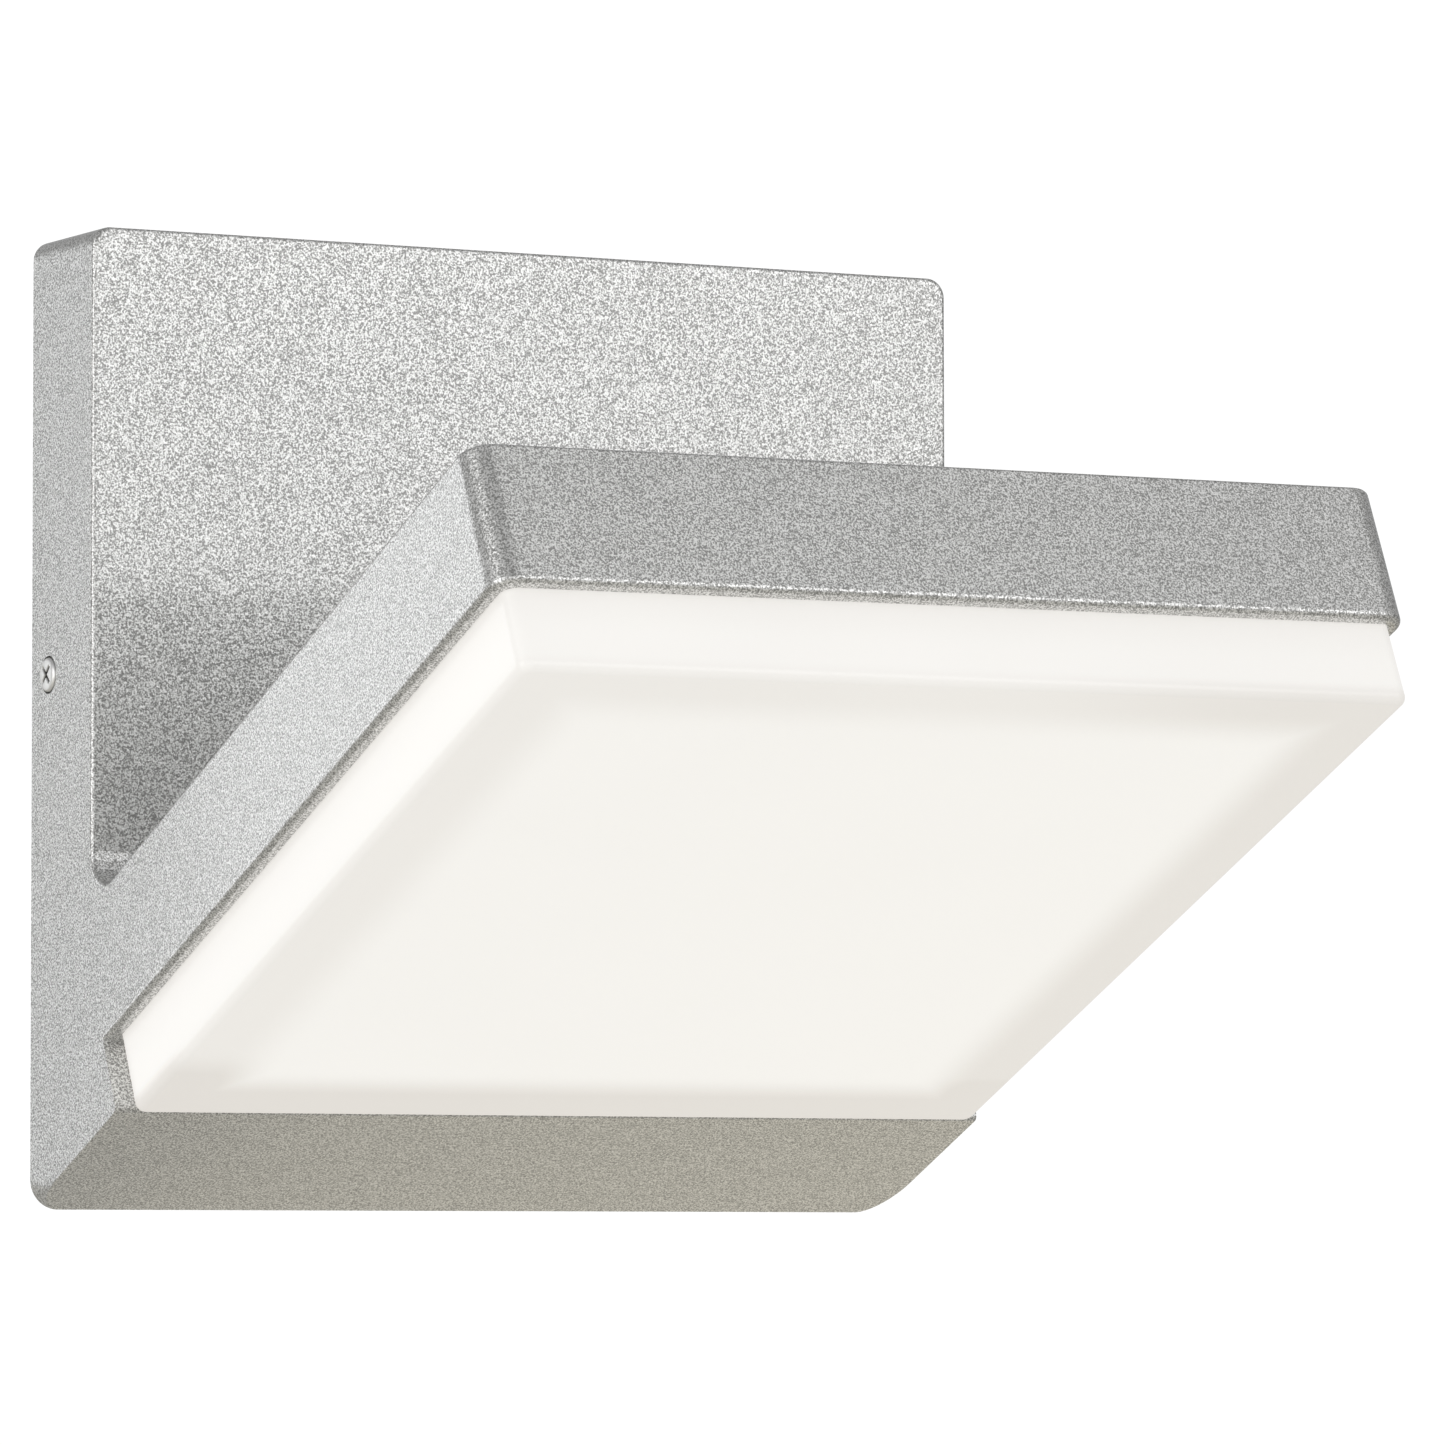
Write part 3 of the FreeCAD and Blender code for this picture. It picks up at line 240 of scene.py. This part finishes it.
FLAKE = 0.26 * MM
GRAIN = 0.5 * MM
FLAKE_SHARE = 0.85
SPECKLE_EDGES = (0.375, 0.625)
COAT_RELIEF = 0.06 * MM
BINDER = (0.28, 0.28, 0.272, 1.0)
BRIGHT_FLAKE = (0.84, 0.84, 0.83, 1.0)
CLEAR_LAYER = {"Metallic": 0.9, "Coat Weight": 1.0, "Coat Roughness": 0.10}


def silver_coat(graph):
    where = graph.place()
    flakes = graph.noise(where, FLAKE, 1.0)
    grains = graph.noise(where, GRAIN, 1.0)
    speckle = graph.step(flakes * FLAKE_SHARE + grains * (1 - FLAKE_SHARE), *SPECKLE_EDGES)
    relief = graph.bump(grains, COAT_RELIEF)
    return {"Base Color": graph.mix(speckle, BINDER, BRIGHT_FLAKE),
            "Roughness": 0.50 - 0.12 * speckle, "Normal": relief}


wear(["housing"], finish("Silver powder coat", silver_coat, CLEAR_LAYER))

# %% [markdown]
# ## Diffuser
# The diffuser is an opal moulding, lit from inside by rows of lamps. Light that scatters through
# opal plastic is slow to work out, so the surface gives off the glow itself and a pattern says
# how much: even over the lamps, dimmer in the margin outside them, most of all towards the wall
# plate and half as much towards the right, and a little dimmer down the walls.

# %% Opal diffuser

GLOW_HALF = 59.0 * MM
GLOW_FADE = 5.0 * MM
FACE_LEVEL = (-11.5 * MM, -9.5 * MM)
NEAR_MARGIN = (-48 * MM, -GLOW_HALF)
WALL_SHADE = (-7.0 * MM, 0.0)
FULL_GLOW = (0.90, 0.888, 0.862, 1.0)
DIM_GLOW = (0.70, 0.67, 0.635, 1.0)


def opal(graph):
    where = graph.place()
    across, along, into = head_place(graph, where)
    sideways = graph.sum_node("ABSOLUTE", across)
    lengthways = graph.sum_node("ABSOLUTE", along)
    inside = graph.sum_node("MAXIMUM", sideways, lengthways)
    margin = graph.step(inside, GLOW_HALF - GLOW_FADE, GLOW_HALF + GLOW_FADE)
    wall = graph.step(into, *FACE_LEVEL)
    near = graph.step(along, *NEAR_MARGIN)
    right_end = graph.step(across, 0.0, GLOW_HALF)
    one_sided = graph.sum_node("MAXIMUM", near, right_end * 0.5)
    face = margin * (1.0 - wall) * (0.45 + 0.75 * one_sided)
    dim = face + wall * (0.25 + 0.25 * graph.step(into, *WALL_SHADE))
    cloud = graph.noise(where, 25 * MM, 1.0)
    return {"Base Color": graph.mix(cloud, (0.36, 0.355, 0.345, 1.0), (0.40, 0.395, 0.385, 1.0)),
            "Roughness": 0.30 + 0.08 * cloud, "Emission Color": graph.mix(dim, FULL_GLOW, DIM_GLOW)}


wear(["diffuser"], finish("Opal diffuser", opal, {"Emission Strength": 0.72}))

# %% [markdown]
# ## Metal fittings
# Screws are tumbled stainless steel, the bracket is zinc-plated strip and the earth screws are
# dyed green. A metal without marks looks like a mirror ball, so each shows fine random scratches
# that change its gloss, and soft stains of tone. One function makes them all from two tones.

# %% Bare and plated metals

STAIN = 6 * MM
METAL = {"Metallic": 1.0}


def metal(dark, light, roughness, scratch=0.25 * MM, relief=0.004 * MM):
    """A metal surface between two tones, with fine scratches."""
    def surface(graph):
        where = graph.place()
        stain = graph.noise(where, STAIN, 3.0, 0.55)
        scratches = graph.noise(where, scratch, 2.0, 0.7)
        return {"Base Color": graph.mix(stain, dark, light),
                "Roughness": roughness + 0.18 * (scratches - 0.5) + 0.12 * (stain - 0.5),
                "Normal": graph.bump(scratches, relief)}
    return surface


stainless = finish("Stainless steel", metal((0.55, 0.55, 0.54, 1), (0.72, 0.71, 0.69, 1), 0.26), METAL)
zinc = finish("Zinc plate", metal((0.52, 0.55, 0.58, 1), (0.74, 0.73, 0.66, 1), 0.38, 0.5 * MM), METAL)
green_dye = finish("Green-dyed steel", metal((0.02, 0.16, 0.07, 1), (0.05, 0.30, 0.13, 1), 0.32), METAL)
brass = finish("Brass", metal((0.60, 0.42, 0.17, 1), (0.80, 0.62, 0.30, 1), 0.28), METAL)
tinned = finish("Tinned copper", metal((0.55, 0.54, 0.52, 1), (0.74, 0.72, 0.69, 1), 0.34), METAL)

wear(["board_screws", "side_screws", "driver_screws", "block_screw"], stainless)
wear(["wall_bracket"], zinc)
wear(["bracket_ground_screw", "earth_screw"], green_dye)
wear(["terminal_clamps"], brass)
wear(["earth_tag"], tinned)

# %% [markdown]
# ## Mouldings
# Moulded plastic copies the spark-eroded texture of its tool: a fine even grain that keeps it
# from shining. Nylon is waxy and slightly yellow. Rubber is darker, duller and dusty. The grain
# is finer than a hair, so relief in the finish does what cut geometry couldn't.

# %% Plastics and rubbers

FLOW = 9 * MM


def moulding(dark, light, roughness, grain=0.18 * MM, relief=0.012 * MM):
    """A moulded surface with an even fine grain."""
    def surface(graph):
        where = graph.place()
        texture = graph.noise(where, grain, 1.0)
        flow = graph.noise(where, FLOW)
        return {"Base Color": graph.mix(flow, dark, light),
                "Roughness": roughness + 0.1 * (texture - 0.5) + 0.08 * (flow - 0.5),
                "Normal": graph.bump(texture, relief)}
    return surface


white_moulding = finish("White moulded plastic",
                        moulding((0.74, 0.74, 0.72, 1), (0.82, 0.82, 0.80, 1), 0.42))
nylon = finish("Nylon", moulding((0.70, 0.67, 0.58, 1), (0.80, 0.78, 0.70, 1), 0.36), {"IOR": 1.53})
rubber = finish("Grey rubber", moulding((0.075, 0.075, 0.075, 1), (0.13, 0.13, 0.128, 1), 0.68))
silicone = finish("Clear silicone", moulding((0.72, 0.71, 0.67, 1), (0.84, 0.83, 0.79, 1), 0.3),
                  {"Subsurface Weight": 0.2, "Subsurface Scale": 2 * MM})
film = finish("White film", moulding((0.86, 0.86, 0.85, 1), (0.92, 0.92, 0.91, 1), 0.24, 0.8 * MM))
gel_pad = finish("Thermal pad", moulding((0.20, 0.21, 0.23, 1), (0.30, 0.31, 0.33, 1), 0.6, 0.4 * MM))

wear(["driver_case", "driver_lid", "board_terminal"], white_moulding)
wear(["terminal_block"], nylon)
wear(["lead_grommet", "driver_bushes"], rubber)
wear(["diffuser_seal"], silicone)
wear(["reflector_sheet"], film)
wear(["thermal_pad"], gel_pad)

# %% [markdown]
# ## Foam gasket
# The gasket that seals the plate to the wall is closed-cell foam. Its skin shows cut cells. A
# cell texture gives them: each is a small pit, painted darker as shade, and the walls between stand
# a little proud.

# %% Black foam

CELL = 0.9 * MM
DUST = 3 * MM
CELL_DEPTH = 0.12 * MM


def foam(graph):
    where = graph.place()
    cells = graph.node("ShaderNodeTexVoronoi", {"feature": "F1"}, {"Vector": where, "Scale": 1 / CELL})
    dust = graph.noise(where, DUST)
    pit = graph.step(cells, 0.1, 0.7)
    # The pits are painted darker than the walls between them: painted shade in the hollows.
    return {"Base Color": graph.mix(pit * 0.7 + dust * 0.3, grey(0.012), grey(0.055)),
            "Roughness": 0.82 + 0.12 * dust, "Normal": graph.bump(pit, CELL_DEPTH)}


wear(["wall_gasket"], finish("Black foam", foam))

# %% [markdown]
# ## Insulated leads
# Each lead is tinned wire in a PVC sheath. PVC is drawn on warm, so it has a soft gloss with
# slight waves along it, and handling leaves it a little dull in places. The five differ only in
# colour, so one function makes them in a loop.

# %% Lead sheaths

WAVE = 2.5 * MM
HANDLED_PATCH = 7 * MM
WAVE_DEPTH = 0.05 * MM


def sheath(colour):
    """Coloured PVC."""
    pale = tuple(0.82 * c + 0.05 for c in colour[:3]) + (1.0,)

    def surface(graph):
        where = graph.place()
        waves = graph.noise(where, WAVE)
        handled = graph.noise(where, HANDLED_PATCH, 2.0, 0.6)
        return {"Base Color": graph.mix(handled, colour, pale), "Roughness": 0.32 + 0.2 * handled,
                "Normal": graph.bump(waves, WAVE_DEPTH)}
    return surface


for lead, label, colour in (("output_lead_positive", "Red sheath", (0.52, 0.015, 0.012, 1)),
                            ("output_lead_negative", "Black sheath", (0.016, 0.016, 0.017, 1)),
                            ("input_lead_line", "Line sheath", (0.018, 0.018, 0.018, 1)),
                            ("input_lead_neutral", "White sheath", (0.72, 0.71, 0.68, 1)),
                            ("earth_lead", "Green sheath", (0.02, 0.22, 0.06, 1))):
    wear([lead], finish(label, sheath(colour)))

# %% [markdown]
# ## Lamp board
# The lamp board is aluminium under white solder mask, with the copper islands just visible as
# relief. The lamps are white cups filled with yellow phosphor. Both patterns repeat at the pitch
# of the lamps, so a fraction of the distance in pitches finds the nearest lamp for every point.

# %% Lamp board and lamps

LAMP_PITCH_ACROSS = 19.8 * MM
LAMP_PITCH_ALONG = 19.21 * MM
ISLAND_EDGE = (7.6 * MM, 8.0 * MM)
CUP_EDGE = (1.05 * MM, 1.2 * MM)


def nearest_lamp(graph, where):
    """How far a point is from the middle of its nearest lamp, across and along the board."""
    offsets = []
    for place, pitch in zip(head_place(graph, where), (LAMP_PITCH_ACROSS, LAMP_PITCH_ALONG)):
        turns = graph.sum_node("FRACT", place / pitch + 10.0)
        offsets.append(graph.sum_node("ABSOLUTE", turns - 0.5) * pitch)
    return offsets


def white_mask(graph):
    where = graph.place()
    across, along = nearest_lamp(graph, where)
    island = graph.step(graph.sum_node("MAXIMUM", across, along), *ISLAND_EDGE, 1.0, 0.0)
    mottle = graph.noise(where, 4 * MM)
    return {"Base Color": graph.mix(island * 0.7 + mottle * 0.3, grey(0.78), grey(0.88)),
            "Roughness": 0.3 + 0.1 * mottle, "Normal": graph.bump(island, 0.05 * MM)}


def lamp(graph):
    where = graph.place()
    across, along = nearest_lamp(graph, where)
    cup = graph.step(graph.reach(across, along), *CUP_EDGE)
    grain = graph.noise(where, 0.2 * MM, 1.0)
    return {"Base Color": graph.mix(cup, (0.85, 0.66, 0.12, 1), (0.88, 0.87, 0.84, 1)),
            "Emission Color": graph.mix(cup, (1.0, 0.85, 0.55, 1), grey(0.0)),
            "Roughness": 0.35 + 0.1 * grain, "Normal": graph.bump(grain, 0.01 * MM)}


wear(["led_board"], finish("White solder mask", white_mask))
wear(["led_chips"], finish("Lamp", lamp, {"Emission Strength": 3.0}))

# %% [markdown]
# ## Driver
# The driver's board is green mask over woven glass, its transformer is wound with yellow tape
# and its capacitors are sleeved. Two sine waves that cross make the weave, and a sawtooth along
# the winding gives each turn of tape an edge.

# %% Driver board and its parts

WEAVE = 0.12 * MM
TRACK = 3.2 * MM
TAPE_WIDTH = 2.1 * MM


def green_mask(graph):
    where = graph.place()
    x, y, z = graph.split(where)
    weave = graph.sum_node("SINE", x / WEAVE) * graph.sum_node("SINE", z / WEAVE)
    tracks = graph.step(graph.noise(where, TRACK, 0.0), 0.5, 0.515)
    return {"Base Color": graph.mix(tracks, (0.012, 0.10, 0.04, 1), (0.03, 0.20, 0.08, 1)),
            "Roughness": 0.3 + 0.04 * weave, "Normal": graph.bump(tracks, 0.04 * MM)}


def wound_tape(graph):
    where = graph.place()
    layers = graph.sum_node("FRACT", graph.split(where)[2] / TAPE_WIDTH)
    edge = graph.step(layers, 0.0, 0.12)
    wrinkle = graph.noise(where, 1.5 * MM)
    return {"Base Color": graph.mix(edge, (0.45, 0.30, 0.02, 1), (0.80, 0.60, 0.06, 1)),
            "Roughness": 0.25 + 0.2 * wrinkle, "Normal": graph.bump(edge + wrinkle * 0.4, 0.06 * MM)}


black_sleeve = moulding((0.015, 0.015, 0.018, 1), (0.03, 0.03, 0.034, 1), 0.26, 0.6 * MM)

wear(["driver_board"], finish("Green solder mask", green_mask))
wear(["driver_transformer"], finish("Yellow tape", wound_tape))
wear(["driver_capacitors"], finish("Black sleeve", black_sleeve))

# %% [markdown]
# ## New pieces
# A few CAD solids are too plain to be seen up close, so a new mesh takes their place. It rides
# on the light's one body, and its own size is printed to be held against the solid it replaces.
# Screws are round, so they start as a profile that is spun.

# %% Helpers for new pieces


def finished_piece(name, mesh, material, replaced):
    """Put a mesh in the scene as a piece of the light, in the place of a CAD node."""
    piece = bpy.data.objects.new(name, mesh)
    mesh.materials.clear()
    mesh.materials.append(material)
    bpy.context.scene.collection.objects.link(piece)
    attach(piece, "root")
    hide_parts(replaced)
    low, high = (Vector(f(v.co[i] for v in mesh.vertices) for i in range(3)) for f in (min, max))
    print(f"{name}: {len(mesh.polygons)} faces, {[round(d / MM, 1) for d in high - low]} mm")


def spun(profile, steps=48):
    """A solid turned about Z from a profile of (radius, height) points that ends on the axis."""
    form = bmesh.new()
    rim = [form.verts.new((radius, 0, height)) for radius, height in profile]
    edges = [form.edges.new(pair) for pair in zip(rim, rim[1:])]
    bmesh.ops.spin(form, geom=rim + edges, cent=(0, 0, 0), axis=(0, 0, 1), angle=math.tau,
                   steps=steps, use_merge=True)
    bmesh.ops.remove_doubles(form, verts=form.verts, dist=1e-7)
    bmesh.ops.recalc_face_normals(form, faces=form.faces)
    return form


def to_mesh(form, name):
    """Turn a bmesh into a mesh and let go of it."""
    mesh = bpy.data.meshes.new(name)
    form.to_mesh(mesh)
    form.free()
    return mesh


def applied(mesh, modifiers):
    """The mesh after modifiers, given as (type, settings)."""
    holder = bpy.data.objects.new("holder", mesh)
    bpy.context.scene.collection.objects.link(holder)
    for kind, settings in modifiers:
        modifier = holder.modifiers.new(kind, kind)
        for key, value in settings.items():
            setattr(modifier, key, value)
    graph = bpy.context.evaluated_depsgraph_get()
    result = bpy.data.meshes.new_from_object(holder.evaluated_get(graph))
    bpy.data.objects.remove(holder)
    return result


# %% [markdown]
# ## A pan-head screw
# The head is a low dome with a flat top, and the shank below it has a ridge for every turn of
# the thread. A true thread winds, but in a hole nobody can tell it from plain rings, and rings
# come from the same spin as the head.

# %% The profile of a screw

PITCH = 0.5 * MM
THREAD_DEPTH = 0.25 * MM
DOME = ((0.74, 0.03 * MM), (0.90, 0.13 * MM), (0.975, 0.32 * MM), (1.0, 0.55 * MM))


def screw_profile(head, height, shank, length):
    """Points from the middle of the head's top, out over the dome and down the thread."""
    radius = head / 2
    core = shank / 2 - THREAD_DEPTH
    profile = [(0, 0)]
    profile += [(radius * share, -drop) for share, drop in DOME]
    profile += [(radius, -height), (core, -height)]
    level = -height - PITCH
    while level > -length + PITCH:
        profile += [(core, level), (shank / 2, level - PITCH * 0.4), (shank / 2, level - PITCH * 0.5)]
        level -= PITCH
    return profile + [(core, level), (core * 0.6, -length), (0, -length)]


# %% [markdown]
# ## Its cross recess
# The punch that forms the recess has two tapered blades that cross, so the same two blades are
# cut from the head. A fine bevel gives the edges a glint, and only edges sharper than the dome's
# stay sharp when the rest is shaded smooth.

# %% Cross-recess screw

BLADE_WIDTH = 0.14
RECESS_DEPTH = 1.4 * MM
BLADE_PROUD = 0.1 * MM
BLADE_TAPER = 0.45
SHARP_ANGLE = math.radians(35)
RECESS_WIDTH = 0.74


def cross_blades(across, width, depth):
    """Two crossed tapered blades, point down, whose wide end stands just above height 0."""
    blades = bmesh.new()
    for quarter in (0, 1):
        size = Matrix.Diagonal((across, width, depth, 1))
        spot = Matrix.Translation((0, 0, -depth / 2 + BLADE_PROUD))
        turned = Matrix.Rotation(math.radians(45 + 90 * quarter), 4, "Z")
        made = bmesh.ops.create_cube(blades, size=1.0, matrix=turned @ spot @ size)["verts"]
        tip = [v for v in made if v.co.z < -depth / 2]
        bmesh.ops.scale(blades, vec=(BLADE_TAPER, BLADE_TAPER, 1), verts=tip)
    return blades


def cross_screw(head, height, shank, length):
    """A pan-head screw with its head's top at the origin and its shank going down."""
    body = to_mesh(spun(screw_profile(head, height, shank, length)), "screw")
    blades = cross_blades(head * RECESS_WIDTH, head * BLADE_WIDTH, RECESS_DEPTH)
    punch = bpy.data.objects.new("blades", to_mesh(blades, "blades"))
    bpy.context.scene.collection.objects.link(punch)
    cut = applied(body, [("BOOLEAN", {"operation": "DIFFERENCE", "object": punch, "solver": "EXACT",
                                      "use_self": True}),
                         ("BEVEL", {"width": 0.05 * MM, "segments": 2, "limit_method": "ANGLE"})])
    bpy.data.objects.remove(punch)
    cut.shade_smooth()
    cut.set_sharp_from_angle(angle=SHARP_ANGLE)
    return cut


# %% [markdown]
# ## Side screws
# Two of these screws hold the plate to the bracket, one in each side. Their CAD node gives the
# place and the head's width. Each is made upright and turned to point out of its side, and both
# share one mesh, because the node that they replace holds the pair.

# %% Place the side screws

PAN_HEIGHT = 1.9 * MM
M3 = 3.0 * MM
SIDE_LENGTH = 8.5 * MM

side_low, side_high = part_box("side_screws")
side_middle = (side_low + side_high) / 2
side_head = side_high.z - side_low.z


def gathered(name, screws):
    """One mesh from screws given as (mesh, matrix)."""
    whole = bmesh.new()
    for screw, matrix in screws:
        screw.transform(matrix)
        whole.from_mesh(screw)
        bpy.data.meshes.remove(screw)
    return to_mesh(whole, name)


side_pair = []
for side in (-1, 1):
    spot = Matrix.Translation((side * side_high.x, side_middle.y, side_middle.z))
    turned = Matrix.Rotation(side * math.pi / 2, 4, "Y")
    side_pair.append((cross_screw(side_head, PAN_HEIGHT, M3, SIDE_LENGTH), spot @ turned))
print(f"side screws: heads {side_head / MM:.1f} mm wide, {2 * side_high.x / MM:.1f} mm apart")

# %% [markdown]
# ## Plating on the side screws
# These heads are the only fittings in plain sight. Their plating is bright, and the recess is
# painted dark as shade. The finish knows the recess by two distances: how deep a point lies under
# the head's top, and how far it is from the screw's axis.

# %% Plated heads

# How deep under the head, and how far out from the axis, the painted shade of the recess reaches.
RECESS_SHADE_DEPTH = (0.10 * MM, 0.35 * MM)
RECESS_SHADE_REACH = (side_head * 0.38, side_head * 0.41)


def plated_head(graph):
    where = graph.place()
    x, y, z = graph.split(where)
    reach = graph.reach(y - side_middle.y, z - side_middle.z)
    depth = side_high.x - graph.sum_node("ABSOLUTE", x)
    # Painted shade: the cross recess is coloured dark where light would not reach into it.
    recess = graph.step(depth, *RECESS_SHADE_DEPTH)
    recess = recess * graph.step(reach, *RECESS_SHADE_REACH, 1.0, 0.0)
    stain = graph.noise(where, 1.2 * MM, 3.0, 0.55)
    bright = graph.mix(stain, (0.80, 0.80, 0.79, 1), (0.90, 0.90, 0.89, 1))
    return {"Base Color": graph.mix(recess, bright, (0.16, 0.155, 0.15, 1)),
            "Roughness": 0.40 + 0.12 * stain, "Normal": graph.bump(stain, 0.01 * MM)}


plated = finish("Plated screw head", plated_head, METAL)
finished_piece("Side_screws", gathered("Side_screws", side_pair), plated, "side_screws")

# %% [markdown]
# ## Screws inside
# The driver hangs on two screws and the earth points are green screws of a larger size. From
# behind, through the open back, these heads are what a fitter sees first. They are the same
# screw in other sizes, turned to face the wall or the front.

# %% Place the driver's screws and the earth screws

BACKWARD = Matrix.Rotation(-math.pi / 2, 4, "X")
FORWARD = Matrix.Rotation(math.pi / 2, 4, "X")
EARTH_HEAD_HEIGHT = 2.4 * MM
M4 = 4.0 * MM


def heads_along_y(node, centres, facing, head_height, shank):
    """Screws whose heads face the wall or the front, as long as their CAD node is deep."""
    low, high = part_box(node)
    screws = []
    for x in centres:
        top = high.y if facing is BACKWARD else low.y
        spot = Matrix.Translation((x, top, (low.z + high.z) / 2))
        screws.append((cross_screw(high.z - low.z, head_height, shank, high.y - low.y), spot @ facing))
    return screws


low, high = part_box("driver_screws")
radius = (high.z - low.z) / 2
driver_pair = heads_along_y("driver_screws", [low.x + radius, high.x - radius], BACKWARD, PAN_HEIGHT, M3)
finished_piece("Driver_screws", gathered("Driver_screws", driver_pair), stainless,
               "driver_screws")
for node, name, facing in (("earth_screw", "Earth_screw", BACKWARD),
                           ("bracket_ground_screw", "Bracket_ground_screw", FORWARD)):
    low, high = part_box(node)
    screws = heads_along_y(node, [(low.x + high.x) / 2], facing, EARTH_HEAD_HEIGHT, M4)
    finished_piece(name, gathered(name, screws), green_dye, node)

# %% [markdown]
# ## Camera
# A long lens from some distance keeps the light's edges nearly parallel. The camera stands to
# the left of the light and a little below it, so that it looks up at the lit face. Its turn is
# built from three directions, and a last small roll about its own axis levels the picture.

# %% Camera

EYE = Vector((-0.58925, -1.17930, -0.09267))
TARGET = Vector((0.012775, -0.060, -0.00779))
ROLL = math.radians(-0.096)
LENS = 212.84
SENSOR = 36.0

forward = (TARGET - EYE).normalized()
right = forward.cross(Vector((0, 0, 1))).normalized()
above = right.cross(forward)
turn = Matrix((right, above, -forward)).transposed().to_4x4()
lens = bpy.data.cameras.new("Camera")
lens.lens = LENS
lens.sensor_width = SENSOR
lens.clip_start = 0.01
camera = bpy.data.objects.new("Camera", lens)
camera.matrix_world = Matrix.Translation(EYE) @ turn @ Matrix.Rotation(ROLL, 4, "Z")
bpy.context.scene.collection.objects.link(camera)
bpy.context.scene.camera = camera
print(f"camera {(TARGET - EYE).length:.3f} m away")

# %% [markdown]
# ## Air round the light
# The light hangs over the floor, because its wall is not part of it. The world gives an even dim
# light from everywhere, and the camera sees it as white, as a studio's backdrop is.

# %% World

AMBIENT = 0.37
BACKDROP = 1.05

world = bpy.data.worlds.new("Studio")
world.use_nodes = True
bpy.context.scene.world = world
bpy.context.scene.view_settings.view_transform = "Standard"
sky = PatternGraph(world.node_tree)
seen = sky.node("ShaderNodeLightPath", output="Is Camera Ray")
shade = sky.mix(seen, grey(AMBIENT), grey(BACKDROP))
background = sky.node("ShaderNodeBackground", (), {"Color": shade, "Strength": 1.0})
sky.node("ShaderNodeOutputWorld", (), {"Surface": background})
print(f"world {AMBIENT} from everywhere, seen as {BACKDROP}")

# %% [markdown]
# ## Studio light
# Metallic paint shows what stands round it, so each face of the light gets a softbox that it can
# mirror: the plate's front, the sides of plate and head, the head's end. A weak warm one below
# stands for what the pale floor sends up to the ramp. Each is placed by its direction from the
# light and keeps its radiance when its size changes.

# %% Softboxes


def softbox(name, direction, distance, width, height, radiance, warmth=(1.0, 1.0, 1.0)):
    """A rectangle of light that faces the lamp from a direction."""
    light = bpy.data.lights.new(name, "AREA")
    light.shape = "RECTANGLE"
    light.size = width
    light.size_y = height
    light.energy = radiance * math.pi * width * height
    light.color = warmth
    holder = bpy.data.objects.new(name, light)
    spot = TARGET + Vector(direction).normalized() * distance
    aim = (TARGET - spot).to_track_quat("-Z", "Y")
    holder.matrix_world = Matrix.Translation(spot) @ aim.to_matrix().to_4x4()
    holder.visible_camera = False
    bpy.context.scene.collection.objects.link(holder)
    print(f"{name}: {width} by {height} m, {distance} m away, {light.energy:.2f} W")


def level_direction(azimuth, elevation):
    """A direction from the lamp: azimuth from straight behind it, to the right, in degrees."""
    a = math.radians(azimuth)
    e = math.radians(elevation)
    return (math.sin(a) * math.cos(e), math.cos(a) * math.cos(e), math.sin(e))


softbox("Front softbox", level_direction(152, 17), 1.6, 0.55, 0.85, 2.35)
softbox("Rear softbox", level_direction(-34.7, 4), 1.86, 0.5, 0.9, 1.75, (0.97, 0.985, 1.0))
softbox("High softbox", level_direction(146, 52), 1.6, 0.7, 0.7, 0.6)
softbox("Left softbox", level_direction(-112, 3), 1.3, 0.8, 1.2, 2.2)
softbox("Near softbox", level_direction(-165, 5), 1.7, 1.3, 0.9, 1.1)
softbox("Low softbox", (0.47, 0.53, -0.71), 0.45, 0.3, 0.3, 0.32, (1.0, 0.90, 0.66))

# %% [markdown]
# ## Floor
# A pale matt floor well below the light catches its glow. It is part of the stage, not of the
# light, so it doesn't ride on the body.

# %% Floor

FLOOR_HEIGHT = -0.36
FLOOR_HALF = 2.0

ground = bmesh.new()
bmesh.ops.create_grid(ground, x_segments=8, y_segments=8, size=FLOOR_HALF,
                      matrix=Matrix.Translation((0, 0, FLOOR_HEIGHT)))
floor = bpy.data.objects.new("Floor", to_mesh(ground, "Floor"))
bpy.context.scene.collection.objects.link(floor)


def pale_floor(graph):
    shade = graph.noise(graph.place(), 0.2)
    return {"Base Color": graph.mix(shade, (0.80, 0.78, 0.72, 1), (0.83, 0.81, 0.75, 1)),
            "Roughness": 0.75 + 0.05 * shade}


floor.data.materials.append(finish("Pale floor", pale_floor))
print(f"floor {2 * FLOOR_HALF} m square, {-FLOOR_HEIGHT} m under the slots")
